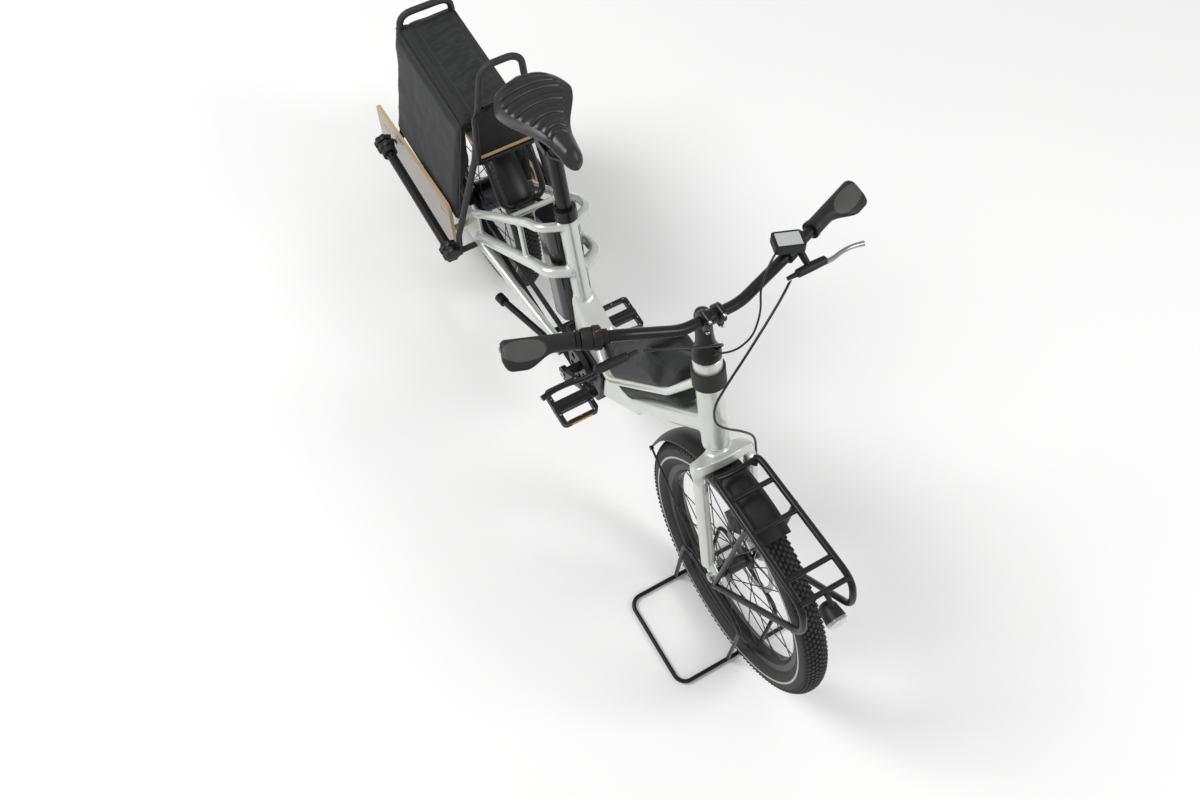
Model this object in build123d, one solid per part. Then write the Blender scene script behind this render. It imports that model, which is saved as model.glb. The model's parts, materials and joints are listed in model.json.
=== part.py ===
"""Electric cargo bicycle (compact longtail) held in a wheel stand.

Frame of the part: +X forward, +Y to the rider's left, +Z up, millimetres, standing on z = 0.
Each node is one STEP file in parts/.
"""
import os
from math import atan2, cos, degrees, hypot, radians, sin, tan

from build123d import *

# ---------------------------------------------------------------- driving dimensions
wheelbase = 1190.0
front_axle_x = 645.0                 # puts the origin under the middle of the bicycle's length
rear_axle_x = front_axle_x - wheelbase

front_tyre_radius = 310.0
rear_tyre_radius = 260.0
tyre_width = 60.0
tyre_height = 57.0                   # from the rim's edge to the tread
rim_depth = 22.0
rim_width = 36.0
rim_wall = 3.0
spoke_radius = 1.2
spoke_count = 28

head_angle = 69.25                   # steering axis, degrees above the floor
steering_ground_ahead = 86.0         # where the steering axis meets the floor, ahead of the axle
head_tube_bottom = 642.0
head_tube_top = 862.0
head_tube_radius = 29.0
head_tube_bore = 24.0
steerer_radius = 15.0
bearing_gap = 1.0                    # running gap above the crown and below the cover
bearing_height = 9.0
pin_gap = 0.3                        # running gap round a pin or shaft
moving_gap = 5.0                     # least clearance of anything that passes a moving part

seat_angle = 68.3
seat_axis_behind_crank = 15.0
seat_tube_radius = 21.0
seat_tube_top = 655.0
seat_post_radius = 17.0
saddle_height = 905.0
saddle_length = 262.0
saddle_width = 156.0

crank_behind_front_axle = 612.0
crank_height = 284.0
crank_length = 170.0
crank_lean = 42.0                    # rest position of the right crank, degrees above forward
crank_inner = 82.0                   # inner face of a crank arm from the middle plane
crank_thickness = 13.0
pedal_length = 100.0
pedal_width = 92.0
pedal_thickness = 17.0

rear_fender_gap = 27.0               # tyre to the inside of its fender
fender_thickness = 3.0
deck_above_fender = 30.0             # fender's crown to the underside of the deck
deck_thickness = 12.0
deck_height = 2 * rear_tyre_radius + rear_fender_gap + fender_thickness + deck_above_fender + deck_thickness
deck_half_width = 66.0
deck_front_behind_front_axle = 1062.0
deck_length = 410.0

stay_y = 66.0                        # how far the wishbone stays stand out beside the battery
dropout_inner = 78.0                 # inner faces of the rear dropouts
dropout_thickness = 10.0
fork_inner = 52.0                    # inner faces of the fork's dropouts
fork_blade_y = 60.0
fork_blade_radius = 15.0

board_inner = 120.0                  # inner face of a side board
board_thickness = 9.0
board_length = 456.0
board_height = 158.0
board_slope = 7.4                    # boards drop toward the rear
footrest_y = 163.0
footrest_height = 250.0
footrest_radius = 13.0

stand_wire_radius = 5.0
stand_half_length = 118.0
stand_half_width = 180.0
stand_hoop_height = 228.0
stand_hoop_y = 49.0

# ---------------------------------------------------------------- derived reference places
bb_x = front_axle_x - crank_behind_front_axle
rear_rim_radius = rear_tyre_radius - tyre_height
front_rim_radius = front_tyre_radius - tyre_height
head_direction = Vector(-cos(radians(head_angle)), 0, sin(radians(head_angle)))
seat_direction = Vector(-cos(radians(seat_angle)), 0, sin(radians(seat_angle)))
deck_front_x = front_axle_x - deck_front_behind_front_axle
deck_rear_x = deck_front_x - deck_length


def on_head(height, ahead=0.0, left=0.0):
    """Point at a height on the steering axis, moved ahead along X and left along Y."""
    x = front_axle_x + steering_ground_ahead - height / tan(radians(head_angle))
    return Vector(x + ahead, left, height)


def on_seat(height, ahead=0.0, left=0.0):
    """Point at a height on the seat tube's axis."""
    x = bb_x - seat_axis_behind_crank - (height - crank_height) / tan(radians(seat_angle))
    return Vector(x + ahead, left, height)


# ---------------------------------------------------------------- shape helpers
def rod(start, end, radius):
    """Straight round bar."""
    start = Vector(*start)
    end = Vector(*end)
    run = end - start
    return Plane(origin=start, z_dir=run) * Cylinder(radius, run.length, align=(Align.CENTER, Align.CENTER, Align.MIN))


def tube(start, end, radius, bore):
    """Straight tube."""
    return rod(start, end, radius) - rod(start, end, bore)


def bent_rod(points, radius, bends):
    """Round bar along straight runs joined by tangent arcs, with one bend radius for each corner."""
    path = FilletPolyline(*[tuple(p) for p in points], radius=bends)
    section = Plane(origin=path @ 0, z_dir=path % 0) * Circle(radius)
    return sweep(section, path=path)


def along_y(x, z, y_from, y_to, radius):
    """Round bar across the bicycle."""
    return rod((x, y_from, z), (x, y_to, z), radius)


def plate(outline, y_from, y_to):
    """Flat plate with an outline in the XZ plane, between two Y faces."""
    face = make_face(Plane.XZ * Polyline(*outline, close=True))
    return Pos(0, y_from, 0) * extrude(face, amount=y_to - y_from, dir=(0, 1, 0))


def mirrored(shape):
    """The same shape on the other side of the bicycle."""
    return mirror(shape, about=Plane.XZ)


def both(shape):
    """A shape and its mirror image, kept as separate solids."""
    return Compound(children=[shape, mirrored(shape)])


def fused(shapes):
    """One solid out of several that meet."""
    result = shapes[0]
    for shape in shapes[1:]:
        result = result + shape
    return result


def cut_by(shape, others):
    """A shape with each of the others cut away from it."""
    for other in others:
        shape = shape - other
    return shape


def ring_about_y(x, z, outer, inner, y_from, y_to):
    """Flat ring whose axis lies across the bicycle."""
    return along_y(x, z, y_from, y_to, outer) - along_y(x, z, y_from - 1, y_to + 1, inner)


def turned_about_y(profile, x, z):
    """Body of revolution about a line across the bicycle; the profile is (radius, y) points."""
    face = make_face(Polyline(*[(y, r) for r, y in profile], close=True))
    body = revolve(face, axis=Axis.X)
    return Pos(x, 0, z) * Rot(0, 0, 90) * body


# ---------------------------------------------------------------- wheels
def make_tyre(x, z, rim_radius):
    """Carcass of a balloon tyre, open on the inside where the rim sits."""
    outer = rim_radius + tyre_height
    half = tyre_width / 2
    bead = rim_width / 2
    with BuildSketch(Plane.XY) as section:
        with BuildLine():
            low_left = (-bead, rim_radius)
            low_right = (bead, rim_radius)
            side_left = (-half, rim_radius + tyre_height * 0.48)
            side_right = (half, rim_radius + tyre_height * 0.48)
            Line(low_left, low_right)
            ThreePointArc(low_left, (-half * 0.93, rim_radius + tyre_height * 0.2), side_left)
            ThreePointArc(side_left, (0, outer), side_right)
            ThreePointArc(side_right, (half * 0.93, rim_radius + tyre_height * 0.2), low_right)
        make_face()
    body = revolve(section.sketch, axis=Axis.X)
    return Pos(x, 0, z) * Rot(0, 0, 90) * body


def make_rim(x, z, rim_radius):
    """Box-section rim under the tyre."""
    half = rim_width / 2
    lip = rim_radius - rim_depth
    profile = [(rim_radius, -half), (rim_radius, half), (lip + 8, half - 2), (lip, 8), (lip, -8), (lip + 8, -half + 2)]
    return turned_about_y(profile, x, z)


def make_hub(x, z, flange_y, flange_radius, body_radius, end_y, end_radius, bore):
    """Hub shell with two spoke flanges and a bore for the axle."""
    flange = 3.0
    profile = [
        (bore, -end_y),
        (end_radius, -end_y),
        (end_radius, -flange_y - flange - 3),
        (flange_radius, -flange_y - flange),
        (flange_radius, -flange_y),
        (body_radius, -flange_y + 5),
        (body_radius, flange_y - 5),
        (flange_radius, flange_y),
        (flange_radius, flange_y + flange),
        (end_radius, flange_y + flange + 3),
        (end_radius, end_y),
        (bore, end_y),
    ]
    return turned_about_y(profile, x, z)


def make_spokes(x, z, rim_inner, flange_y, flange_radius):
    """Tangent spokes from both flanges to the middle of the rim, each pair crossing its neighbour."""
    spokes = []
    side_step = 1.9
    for index in range(spoke_count):
        side = 1 if index % 2 else -1
        lead = 1 if (index // 2) % 2 else -1
        rim_angle = radians(360.0 * index / spoke_count)
        hub_angle = rim_angle + lead * radians(58)
        flange_mid = flange_y + 1.5 + lead * side_step
        start = (
            x + (flange_radius - 4) * cos(hub_angle),
            side * flange_mid,
            z + (flange_radius - 4) * sin(hub_angle),
        )
        end = (x + rim_inner * cos(rim_angle), side * 5.0, z + rim_inner * sin(rim_angle))
        spokes.append(rod(start, end, spoke_radius))
    return spokes


def make_wheel(name, x, z, rim_radius, flange_y, flange_radius, body_radius, end_y, end_radius, bore):
    """Tyre, rim, hub and spokes of one wheel."""
    rim = make_rim(x, z, rim_radius)
    hub = make_hub(x, z, flange_y, flange_radius, body_radius, end_y, end_radius, bore)
    rim_inner = rim_radius - rim_depth
    spokes = fused([hub] + make_spokes(x, z, rim_inner + 0.5, flange_y, flange_radius)) - rim
    return {
        name + "_tyre": make_tyre(x, z, rim_radius),
        name + "_rim": rim,
        name + "_hub": spokes,
    }


parts = {}

front_hub_end = fork_inner - 1.0
front_axle_radius = 7.5
rear_axle_radius = 7.5
front_flange_y = 26.0
rear_flange_y = 30.0
parts.update(
    make_wheel(
        "front",
        front_axle_x,
        front_tyre_radius,
        front_rim_radius,
        front_flange_y,
        flange_radius=29.0,
        body_radius=17.0,
        end_y=front_hub_end,
        end_radius=13.0,
        bore=front_axle_radius + pin_gap,
    )
)
rear_hub_end = dropout_inner - 1.0
parts.update(
    make_wheel(
        "rear",
        rear_axle_x,
        rear_tyre_radius,
        rear_rim_radius,
        rear_flange_y,
        flange_radius=47.0,
        body_radius=43.0,
        end_y=rear_hub_end,
        end_radius=15.0,
        bore=rear_axle_radius + pin_gap,
    )
)

front_z = front_tyre_radius
rear_z = rear_tyre_radius

# brake discs on the left side of both hubs
disc_radius = 90.0
disc_thickness = 2.0


def make_disc(x, z, y, hub_radius):
    """Brake disc: a ring on six arms round its carrier."""
    ring = ring_about_y(x, z, disc_radius, disc_radius - 15, y, y + disc_thickness)
    carrier = ring_about_y(x, z, hub_radius + 9, hub_radius, y, y + disc_thickness)
    arms = []
    for step in range(6):
        angle = radians(60.0 * step)
        lead = angle + radians(24)
        start = (x + (hub_radius + 6) * cos(angle), y, z + (hub_radius + 6) * sin(angle))
        end = (x + (disc_radius - 8) * cos(lead), y, z + (disc_radius - 8) * sin(lead))
        run = Vector(*end) - Vector(*start)
        middle = (Vector(*start) + Vector(*end)) * 0.5
        turn = degrees(atan2(run.Z, run.X))
        arm = Box(run.length, disc_thickness, 7, align=(Align.CENTER, Align.MIN, Align.CENTER))
        arms.append(Pos(middle.X, y, middle.Z) * Rot(0, -turn, 0) * arm)
    return fused([ring, carrier] + arms)


front_disc_y = front_flange_y + 10.5
rear_disc_y = rear_flange_y + 26.0
parts["front_disc"] = make_disc(front_axle_x, front_z, front_disc_y, 13.0)
parts["rear_disc"] = make_disc(rear_axle_x, rear_z, rear_disc_y, 15.0)

# ---------------------------------------------------------------- belt drive
belt_y = 46.0                        # middle of the belt, on the right side
belt_width = 12.0
belt_thickness = 4.0
front_pulley_radius = 46.0
rear_pulley_radius = 26.0
pulley_gap = 0.6
pulley_width = belt_width + 2.0
belt_from = -belt_y - belt_width / 2
belt_to = -belt_y + belt_width / 2

rear_pulley = ring_about_y(
    rear_axle_x, rear_z, rear_pulley_radius - pulley_gap, 15.0, -belt_y - pulley_width / 2, -belt_y + pulley_width / 2
)
parts["rear_pulley"] = rear_pulley


def belt_outline(extra):
    """Closed outline of the belt round both pulleys, widened by an amount."""
    front_r = front_pulley_radius + extra
    rear_r = rear_pulley_radius + extra
    dx = bb_x - rear_axle_x
    dz = crank_height - rear_z
    span = hypot(dx, dz)
    slope = degrees(atan2(dz, dx))
    spread = degrees(atan2(front_r - rear_r, span))
    up = radians(slope + 90 + spread)
    down = radians(slope - 90 - spread)
    front_top = (bb_x + front_r * cos(up), crank_height + front_r * sin(up))
    rear_top = (rear_axle_x + rear_r * cos(up), rear_z + rear_r * sin(up))
    front_low = (bb_x + front_r * cos(down), crank_height + front_r * sin(down))
    rear_low = (rear_axle_x + rear_r * cos(down), rear_z + rear_r * sin(down))
    ahead = (bb_x + front_r * cos(radians(slope)), crank_height + front_r * sin(radians(slope)))
    behind = (rear_axle_x - rear_r * cos(radians(slope)), rear_z - rear_r * sin(radians(slope)))
    with BuildSketch(Plane.XZ) as sketch:
        with BuildLine():
            Line(rear_top, front_top)
            ThreePointArc(front_top, ahead, front_low)
            Line(front_low, rear_low)
            ThreePointArc(rear_low, behind, rear_top)
        make_face()
    return sketch.sketch


def belt_prism(extra):
    """Solid block with the belt's outline."""
    return Pos(0, belt_from, 0) * extrude(belt_outline(extra), amount=belt_width, dir=(0, 1, 0))


parts["drive_belt"] = belt_prism(belt_thickness) - belt_prism(0)

# ---------------------------------------------------------------- crank set and pedals
crank_axle_radius = 12.0
pedal_pin_radius = 6.0
pedal_pin_length = pedal_width - 6.0
right_angle = radians(crank_lean)
pedal_places = {
    "right": (bb_x + crank_length * cos(right_angle), crank_height + crank_length * sin(right_angle), -1),
    "left": (bb_x - crank_length * cos(right_angle), crank_height - crank_length * sin(right_angle), 1),
}
crank_outer = crank_inner + crank_thickness


def crank_arm(side):
    """One arm with its boss, its eye and the pedal's pin."""
    x, z, sign = pedal_places[side]
    boss = along_y(bb_x, crank_height, sign * crank_inner, sign * crank_outer, 19)
    eye = along_y(x, z, sign * crank_inner, sign * crank_outer, 14)
    turn = degrees(atan2(z - crank_height, x - bb_x))
    middle = sign * (crank_inner + crank_thickness / 2)
    bar = Pos((x + bb_x) / 2, middle, (z + crank_height) / 2) * Rot(0, -turn, 0) * Box(crank_length, crank_thickness, 24)
    pin = along_y(x, z, sign * (crank_outer - 1), sign * (crank_outer + pedal_pin_length), pedal_pin_radius)
    return fused([boss, eye, bar, pin])


spindle = along_y(bb_x, crank_height, -crank_inner - 1, crank_inner + 1, crank_axle_radius)
front_pulley = along_y(
    bb_x, crank_height, -belt_y - pulley_width / 2, -belt_y + pulley_width / 2, front_pulley_radius - pulley_gap
)
for step in range(5):
    angle = radians(72.0 * step)
    front_pulley = front_pulley - along_y(
        bb_x + 30 * cos(angle), crank_height + 30 * sin(angle), -belt_y - 20, -belt_y + 20, 9
    )
parts["crank_set"] = fused([spindle, crank_arm("right"), crank_arm("left"), front_pulley])


def make_pedal(side):
    """Flat cage pedal, level with the floor, turning on the crank's pin."""
    x, z, sign = pedal_places[side]
    inner = crank_outer + 3.0
    cage = Box(pedal_length, pedal_width, pedal_thickness)
    window = Box(28, pedal_width - 22, pedal_thickness + 2)
    cage = cage - Pos(28, 0, 0) * window - Pos(-28, 0, 0) * window
    cage = fillet(cage.edges().filter_by(Axis.Z).group_by(Axis.X)[0], 12)
    cage = fillet(cage.edges().filter_by(Axis.Z).group_by(Axis.X)[-1], 12)
    cage = Pos(x, sign * (inner + pedal_width / 2), z) * cage
    sleeve = along_y(x, z, sign * inner, sign * (inner + pedal_width), 11)
    bore = along_y(x, z, sign * (inner - 1), sign * (inner + pedal_width - 4), pedal_pin_radius + pin_gap)
    return cage + sleeve - bore


parts["pedal_right"] = make_pedal("right")
parts["pedal_left"] = make_pedal("left")

# ---------------------------------------------------------------- main frame
beam_half_width = 31.0
beam_depth = 48.0
beam_slope = 53.0
beam_foot_height = 418.0
rail_y = 45.0
rail_radius = 10.0
rail_bend_height = 700.0
rail_bend_behind = 100.0             # behind the steering axis
rail_foot_height = 426.0
rail_slope = 53.3
stay_radius = 11.0
chainstay_radius = 12.0

motor_front_x = bb_x + 78
motor_rear_x = bb_x - 92
motor_bottom = crank_height - 78
motor_top = crank_height + 66
motor_half_width = 36.0

head_tube = tube(on_head(head_tube_bottom), on_head(head_tube_top), head_tube_radius, head_tube_bore)
cup_lower = tube(
    on_head(head_tube_bottom), on_head(head_tube_bottom + bearing_height), head_tube_bore, steerer_radius + pin_gap
)
cup_upper = tube(
    on_head(head_tube_top - bearing_height), on_head(head_tube_top), head_tube_bore, steerer_radius + pin_gap
)
head_core = rod(on_head(head_tube_bottom - 20), on_head(head_tube_top + 20), head_tube_bore)

# the rails run from the sides of the head tube, over a bend, down to the motor bridge
rail_top = on_head(790, -20, -16)
rail_bend = on_head(rail_bend_height, -rail_bend_behind, -rail_y)
rail_drop = rail_bend_height - rail_foot_height
rail_foot = Vector(rail_bend.X - rail_drop / tan(radians(rail_slope)), -rail_y - 5, rail_foot_height)
rail_end = Vector(bb_x + 14, -20, rail_foot_height + 6)
right_rail = bent_rod([rail_top, rail_bend, rail_foot, rail_end], rail_radius, [80, 60])

# the beam: a rounded box from the head tube down to the motor bridge
beam_top = on_head(706)
beam_drop = beam_top.Z - beam_foot_height
beam_bend = Vector(beam_top.X - beam_drop / tan(radians(beam_slope)), 0, beam_foot_height)
beam_run = beam_bend - beam_top
beam_face = Plane(origin=beam_top, z_dir=beam_run, x_dir=(0, 1, 0)) * RectangleRounded(
    2 * beam_half_width, beam_depth, 16
)
beam = extrude(beam_face, amount=beam_run.length + 6)
beam_half = beam_depth / 2
beam_side = (beam_half * sin(radians(beam_slope)), beam_half * cos(radians(beam_slope)))
bridge_outline = [
    (beam_bend.X + beam_side[0], beam_bend.Z - beam_side[1]),
    (beam_bend.X - beam_side[0] + 4, beam_bend.Z + beam_side[1] - 2),
    (beam_bend.X - 66, beam_foot_height + 2),
    (bb_x + 24, beam_foot_height + 8),
    (on_seat(beam_foot_height + 40).X, beam_foot_height + 44),
    (on_seat(motor_top + 20).X - 8, motor_top + 1),
    (motor_rear_x + 6, motor_top + 1),
    (motor_rear_x + 6, motor_top - 1),
    (motor_front_x + 4, motor_top - 1),
    (motor_front_x + 4, crank_height - 18),
    (motor_front_x + 10, crank_height - 24),
]
bridge = plate(bridge_outline, -beam_half_width, beam_half_width)
seat_tube = rod(on_seat(motor_top + 6), on_seat(seat_tube_top), seat_tube_radius)
post_bottom = rail_foot_height + 50
seat_bore = rod(on_seat(post_bottom), on_seat(seat_tube_top + 5), seat_post_radius)

# wishbone stays: out from the seat tube, round the battery, back and down to the dropouts
hitch_x = rear_axle_x + 108          # where stays and hoop feet meet, ahead of the rear axle
hitch_y = dropout_inner + dropout_thickness / 2 + 4
upper_stay_points = [
    on_seat(642, 6, -12),
    on_seat(640, -18, -stay_y + 4),
    on_seat(612, -74, -stay_y - 3),
    Vector(hitch_x + 4, -hitch_y, 366),
]
lower_stay_points = [
    on_seat(528, 8, -12),
    on_seat(524, -22, -stay_y + 2),
    on_seat(500, -78, -stay_y - 4),
    Vector(hitch_x + 24, -hitch_y, 292),
]
upper_stay = bent_rod(upper_stay_points, stay_radius, [34, 60])
lower_stay = bent_rod(lower_stay_points, stay_radius + 3, [36, 60])
link_top = upper_stay_points[2] * 0.86 + upper_stay_points[3] * 0.14
link_low = lower_stay_points[2] * 0.86 + lower_stay_points[3] * 0.14
stay_link = rod(link_top, link_low, 7)
chainstay_start = Vector(motor_rear_x + 14, -56, crank_height - 6)
chainstay_knee = Vector(motor_rear_x - 66, -62, crank_height - 14)
chainstay_end = Vector(hitch_x + 6, -hitch_y, rear_z + 4)
chainstay = bent_rod([chainstay_start, chainstay_knee, chainstay_end], chainstay_radius, [120])

dropout_outline = [
    (hitch_x + 14, 378),
    (hitch_x + 34, 300),
    (hitch_x + 22, rear_z - 34),
    (rear_axle_x + 12, rear_z - 36),
    (rear_axle_x - 20, rear_z - 12),
    (rear_axle_x - 18, rear_z + 16),
    (hitch_x - 30, 352),
    (hitch_x - 14, 378),
]
dropout = plate(dropout_outline, -dropout_inner - dropout_thickness, -dropout_inner)
dropout = dropout - along_y(rear_axle_x, rear_z, -dropout_inner - 20, -dropout_inner + 1, rear_axle_radius)

cross_tube_x = rear_axle_x + 272
upper_line = (upper_stay_points[2].X - cross_tube_x) / (upper_stay_points[2].X - upper_stay_points[3].X)
cross_tube_z = upper_stay_points[2].Z + upper_line * (upper_stay_points[3].Z - upper_stay_points[2].Z)
cross_tube = along_y(cross_tube_x, cross_tube_z, -stay_y, stay_y, 8)

side_pieces = [right_rail, upper_stay, lower_stay, stay_link, chainstay, dropout]
frame_body = fused([head_tube + cup_lower + cup_upper, beam, bridge, seat_tube, cross_tube])
frame_body = fused([frame_body] + side_pieces + [mirrored(piece) for piece in side_pieces])
bearing_bore = rod(on_head(head_tube_bottom - 20), on_head(head_tube_top + 20), steerer_radius + pin_gap)
inner_room = rod(
    on_head(head_tube_bottom + bearing_height), on_head(head_tube_top - bearing_height), head_tube_bore
)
frame_body = frame_body - bearing_bore - inner_room - seat_bore

# stand bracket below the motor bridge
stand_pivot_x = bb_x - 108
stand_pivot_z = 196.0
stand_leg_length = 236.0
stand_pin_radius = 7.0

motor_body = Box(motor_front_x - motor_rear_x, 2 * motor_half_width, motor_top - motor_bottom)
motor_body = fillet(motor_body.edges().filter_by(Axis.Y), 26)
motor_body = Pos((motor_front_x + motor_rear_x) / 2, 0, (motor_top + motor_bottom) / 2) * motor_body
motor_cover = along_y(bb_x, crank_height, motor_half_width - 1, motor_half_width + 22, 52)
motor_body = motor_body + motor_cover
motor_body = motor_body - along_y(bb_x, crank_height, -100, 100, crank_axle_radius + 1)
motor_body = motor_body - along_y(
    bb_x, crank_height, -100, -motor_half_width + 2, front_pulley_radius + belt_thickness + 4
)

bracket = Pos(stand_pivot_x, 0, stand_pivot_z + 14) * Box(52, 64, 28)
bracket_web = plate(
    [
        (motor_rear_x + 14, crank_height + 6),
        (motor_rear_x + 2, crank_height + 6),
        (stand_pivot_x - 20, stand_pivot_z + 20),
        (stand_pivot_x + 24, stand_pivot_z + 20),
    ],
    -26,
    26,
)
bracket_bar = along_y(motor_rear_x + 14, crank_height - 6, -62, 62, 10)
stand_pin = along_y(stand_pivot_x, stand_pivot_z, -54, 54, stand_pin_radius)
frame_body = fused([frame_body, bracket_bar, bracket_web, bracket, stand_pin])
motor_neighbours = [bridge, bracket_bar, bracket_web, bracket, seat_tube, chainstay, mirrored(chainstay)]
parts["drive_unit"] = cut_by(motor_body, motor_neighbours)
parts["frame"] = frame_body
rails = [right_rail, mirrored(right_rail)]

# ---------------------------------------------------------------- head band and battery
band_bottom = 800.0
band_top = 838.0
band_radius = head_tube_radius + 5.0
band = tube(on_head(band_bottom), on_head(band_top), band_radius, head_tube_radius)
parts["head_band"] = cut_by(band, rails)

battery_gap = 4.0
battery_depth = 74.0
battery_width = 84.0
battery_bottom = 356.0
battery_length = 280.0
battery_plane = Plane(
    origin=on_seat(battery_bottom, -(seat_tube_radius + battery_gap + battery_depth / 2) / sin(radians(seat_angle))),
    z_dir=seat_direction,
    x_dir=(0, 1, 0),
)
battery = extrude(battery_plane * RectangleRounded(battery_width, battery_depth, 20), amount=battery_length)
clip_from = -seat_tube_radius - battery_gap - 6
for height in (430, 570):
    battery = battery + rod(on_seat(height, clip_from), on_seat(height, -seat_tube_radius + 1), 9)
battery = battery - seat_tube
parts["battery"] = battery

# ---------------------------------------------------------------- frame bag between the rails
rail_along = Vector(cos(radians(rail_slope)), 0, sin(radians(rail_slope)))
rail_up = Vector(-sin(radians(rail_slope)), 0, cos(radians(rail_slope)))
rail_origin = Vector(rail_foot.X, 0, rail_foot.Z)
bag_inner_half = rail_y - rail_radius - 1.0
bag_outer_half = rail_y + 5.0


def by_rail(along, up):
    """XZ place measured from the rails' foot, along them and square above them."""
    place = rail_origin + rail_along * along + rail_up * up
    return (place.X, place.Z)


bag_keel = [
    by_rail(22, -2),
    by_rail(70, -38),
    by_rail(372, -26),
    by_rail(440, 58),
    by_rail(330, 92),
    by_rail(66, 92),
    by_rail(34, 60),
]
bag_bulge = [
    by_rail(30, rail_radius + 3),
    by_rail(322, rail_radius + 3),
    by_rail(352, 60),
    by_rail(318, 98),
    by_rail(66, 98),
    by_rail(30, 62),
]
bulge = plate(bag_bulge, -bag_outer_half, bag_outer_half)
bulge = chamfer(bulge.faces().filter_by(Axis.Y).edges(), 9)
frame_bag = plate(bag_keel, -bag_inner_half, bag_inner_half) + bulge
band_room = rod(on_head(band_bottom - 1), on_head(band_top + 1), band_radius)
parts["frame_bag"] = cut_by(frame_bag, rails + [beam, bridge, band_room, head_tube + head_core])

# ---------------------------------------------------------------- seat post, collar and saddle
collar_height = 26.0
collar = tube(on_seat(seat_tube_top), on_seat(seat_tube_top + collar_height), seat_tube_radius + 5, seat_post_radius)
parts["seat_collar"] = collar
post_top = saddle_height - 74
saddle_rail_y = 22.0
saddle_rail_radius = 3.5
saddle_bottom = saddle_height - 48
post = rod(on_seat(post_bottom), on_seat(post_top), seat_post_radius)
post_head = Pos(*on_seat(post_top + 4)) * Box(46, 2 * saddle_rail_y + 12, 18)
rail_z = post_top + 8
saddle_mid_x = on_seat(post_top).X - 18
one_saddle_rail = bent_rod(
    [
        (saddle_mid_x + 92, -12, saddle_bottom + 3),
        (saddle_mid_x + 56, -saddle_rail_y, rail_z),
        (saddle_mid_x - 46, -saddle_rail_y, rail_z),
        (saddle_mid_x - 78, -saddle_rail_y - 14, saddle_bottom + 3),
    ],
    saddle_rail_radius,
    [24, 24],
)
parts["seat_post"] = fused([post, post_head, one_saddle_rail, mirrored(one_saddle_rail)])

saddle_nose_x = saddle_mid_x + saddle_length / 2
saddle_rear_x = saddle_mid_x - saddle_length / 2
saddle_outline = [
    (saddle_nose_x, 0),
    (saddle_nose_x - 8, 17),
    (saddle_nose_x - 80, 24),
    (saddle_nose_x - 150, 52),
    (saddle_rear_x + 68, saddle_width / 2),
    (saddle_rear_x + 26, saddle_width / 2 - 8),
    (saddle_rear_x + 4, 40),
    (saddle_rear_x, 0),
]
with BuildSketch(Plane.XY.offset(saddle_bottom)) as saddle_sketch:
    with BuildLine():
        Spline(*saddle_outline, *[(x, -y) for x, y in saddle_outline[-2:0:-1]], periodic=True)
    make_face()
saddle = extrude(saddle_sketch.sketch, amount=saddle_height - saddle_bottom)
saddle = fillet(saddle.edges().group_by(Axis.Z)[-1], 12)
parts["saddle"] = saddle - parts["seat_post"]

# ---------------------------------------------------------------- rear rack, deck, hoops
rack_tube_radius = 7.5
rack_rail_y = 56.0
rack_rail_z = deck_height - deck_thickness - rack_tube_radius
loop_low_x = rear_axle_x + 216
loop_low_z = 477.0
front_hoop_x = deck_front_x - 10
rear_hoop_x = deck_rear_x - 8
front_hoop_top = 862.0
rear_hoop_top = 690.0
hoop_radius = 8.0

rack_loop = bent_rod(
    [
        (rear_hoop_x, -rack_rail_y, rack_rail_z),
        (deck_front_x + 6, -rack_rail_y, rack_rail_z),
        (loop_low_x, -rack_rail_y, loop_low_z),
        (loop_low_x, rack_rail_y, loop_low_z),
        (deck_front_x + 6, rack_rail_y, rack_rail_z),
        (rear_hoop_x, rack_rail_y, rack_rail_z),
    ],
    rack_tube_radius,
    [40, 30, 30, 40],
)
guard_top = deck_height + 150
guard_x = deck_front_x + 2
guard_half = deck_half_width + rack_tube_radius + 1
rack_guard = bent_rod(
    [
        (guard_x, -guard_half, rack_rail_z),
        (guard_x - 4, -guard_half, guard_top),
        (guard_x - 4, guard_half, guard_top),
        (guard_x, guard_half, rack_rail_z),
    ],
    rack_tube_radius,
    [34, 34],
)
guard_panel = Pos(guard_x - 2, 0, (deck_height + guard_top) / 2) * Box(4, 2 * guard_half - 8, guard_top - deck_height - 4)
guard_foot = along_y(guard_x, rack_rail_z, -guard_half, guard_half, rack_tube_radius - 1)
rack_end = along_y(rear_hoop_x + 2, rack_rail_z, -rack_rail_y, rack_rail_y, rack_tube_radius - 1)
rack_tie_right = rod((loop_low_x, -26, loop_low_z), (cross_tube_x, -26, cross_tube_z), 5)
rack_body = fused([rack_loop, rack_guard, guard_panel, guard_foot, rack_end, rack_tie_right, mirrored(rack_tie_right)])

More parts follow.
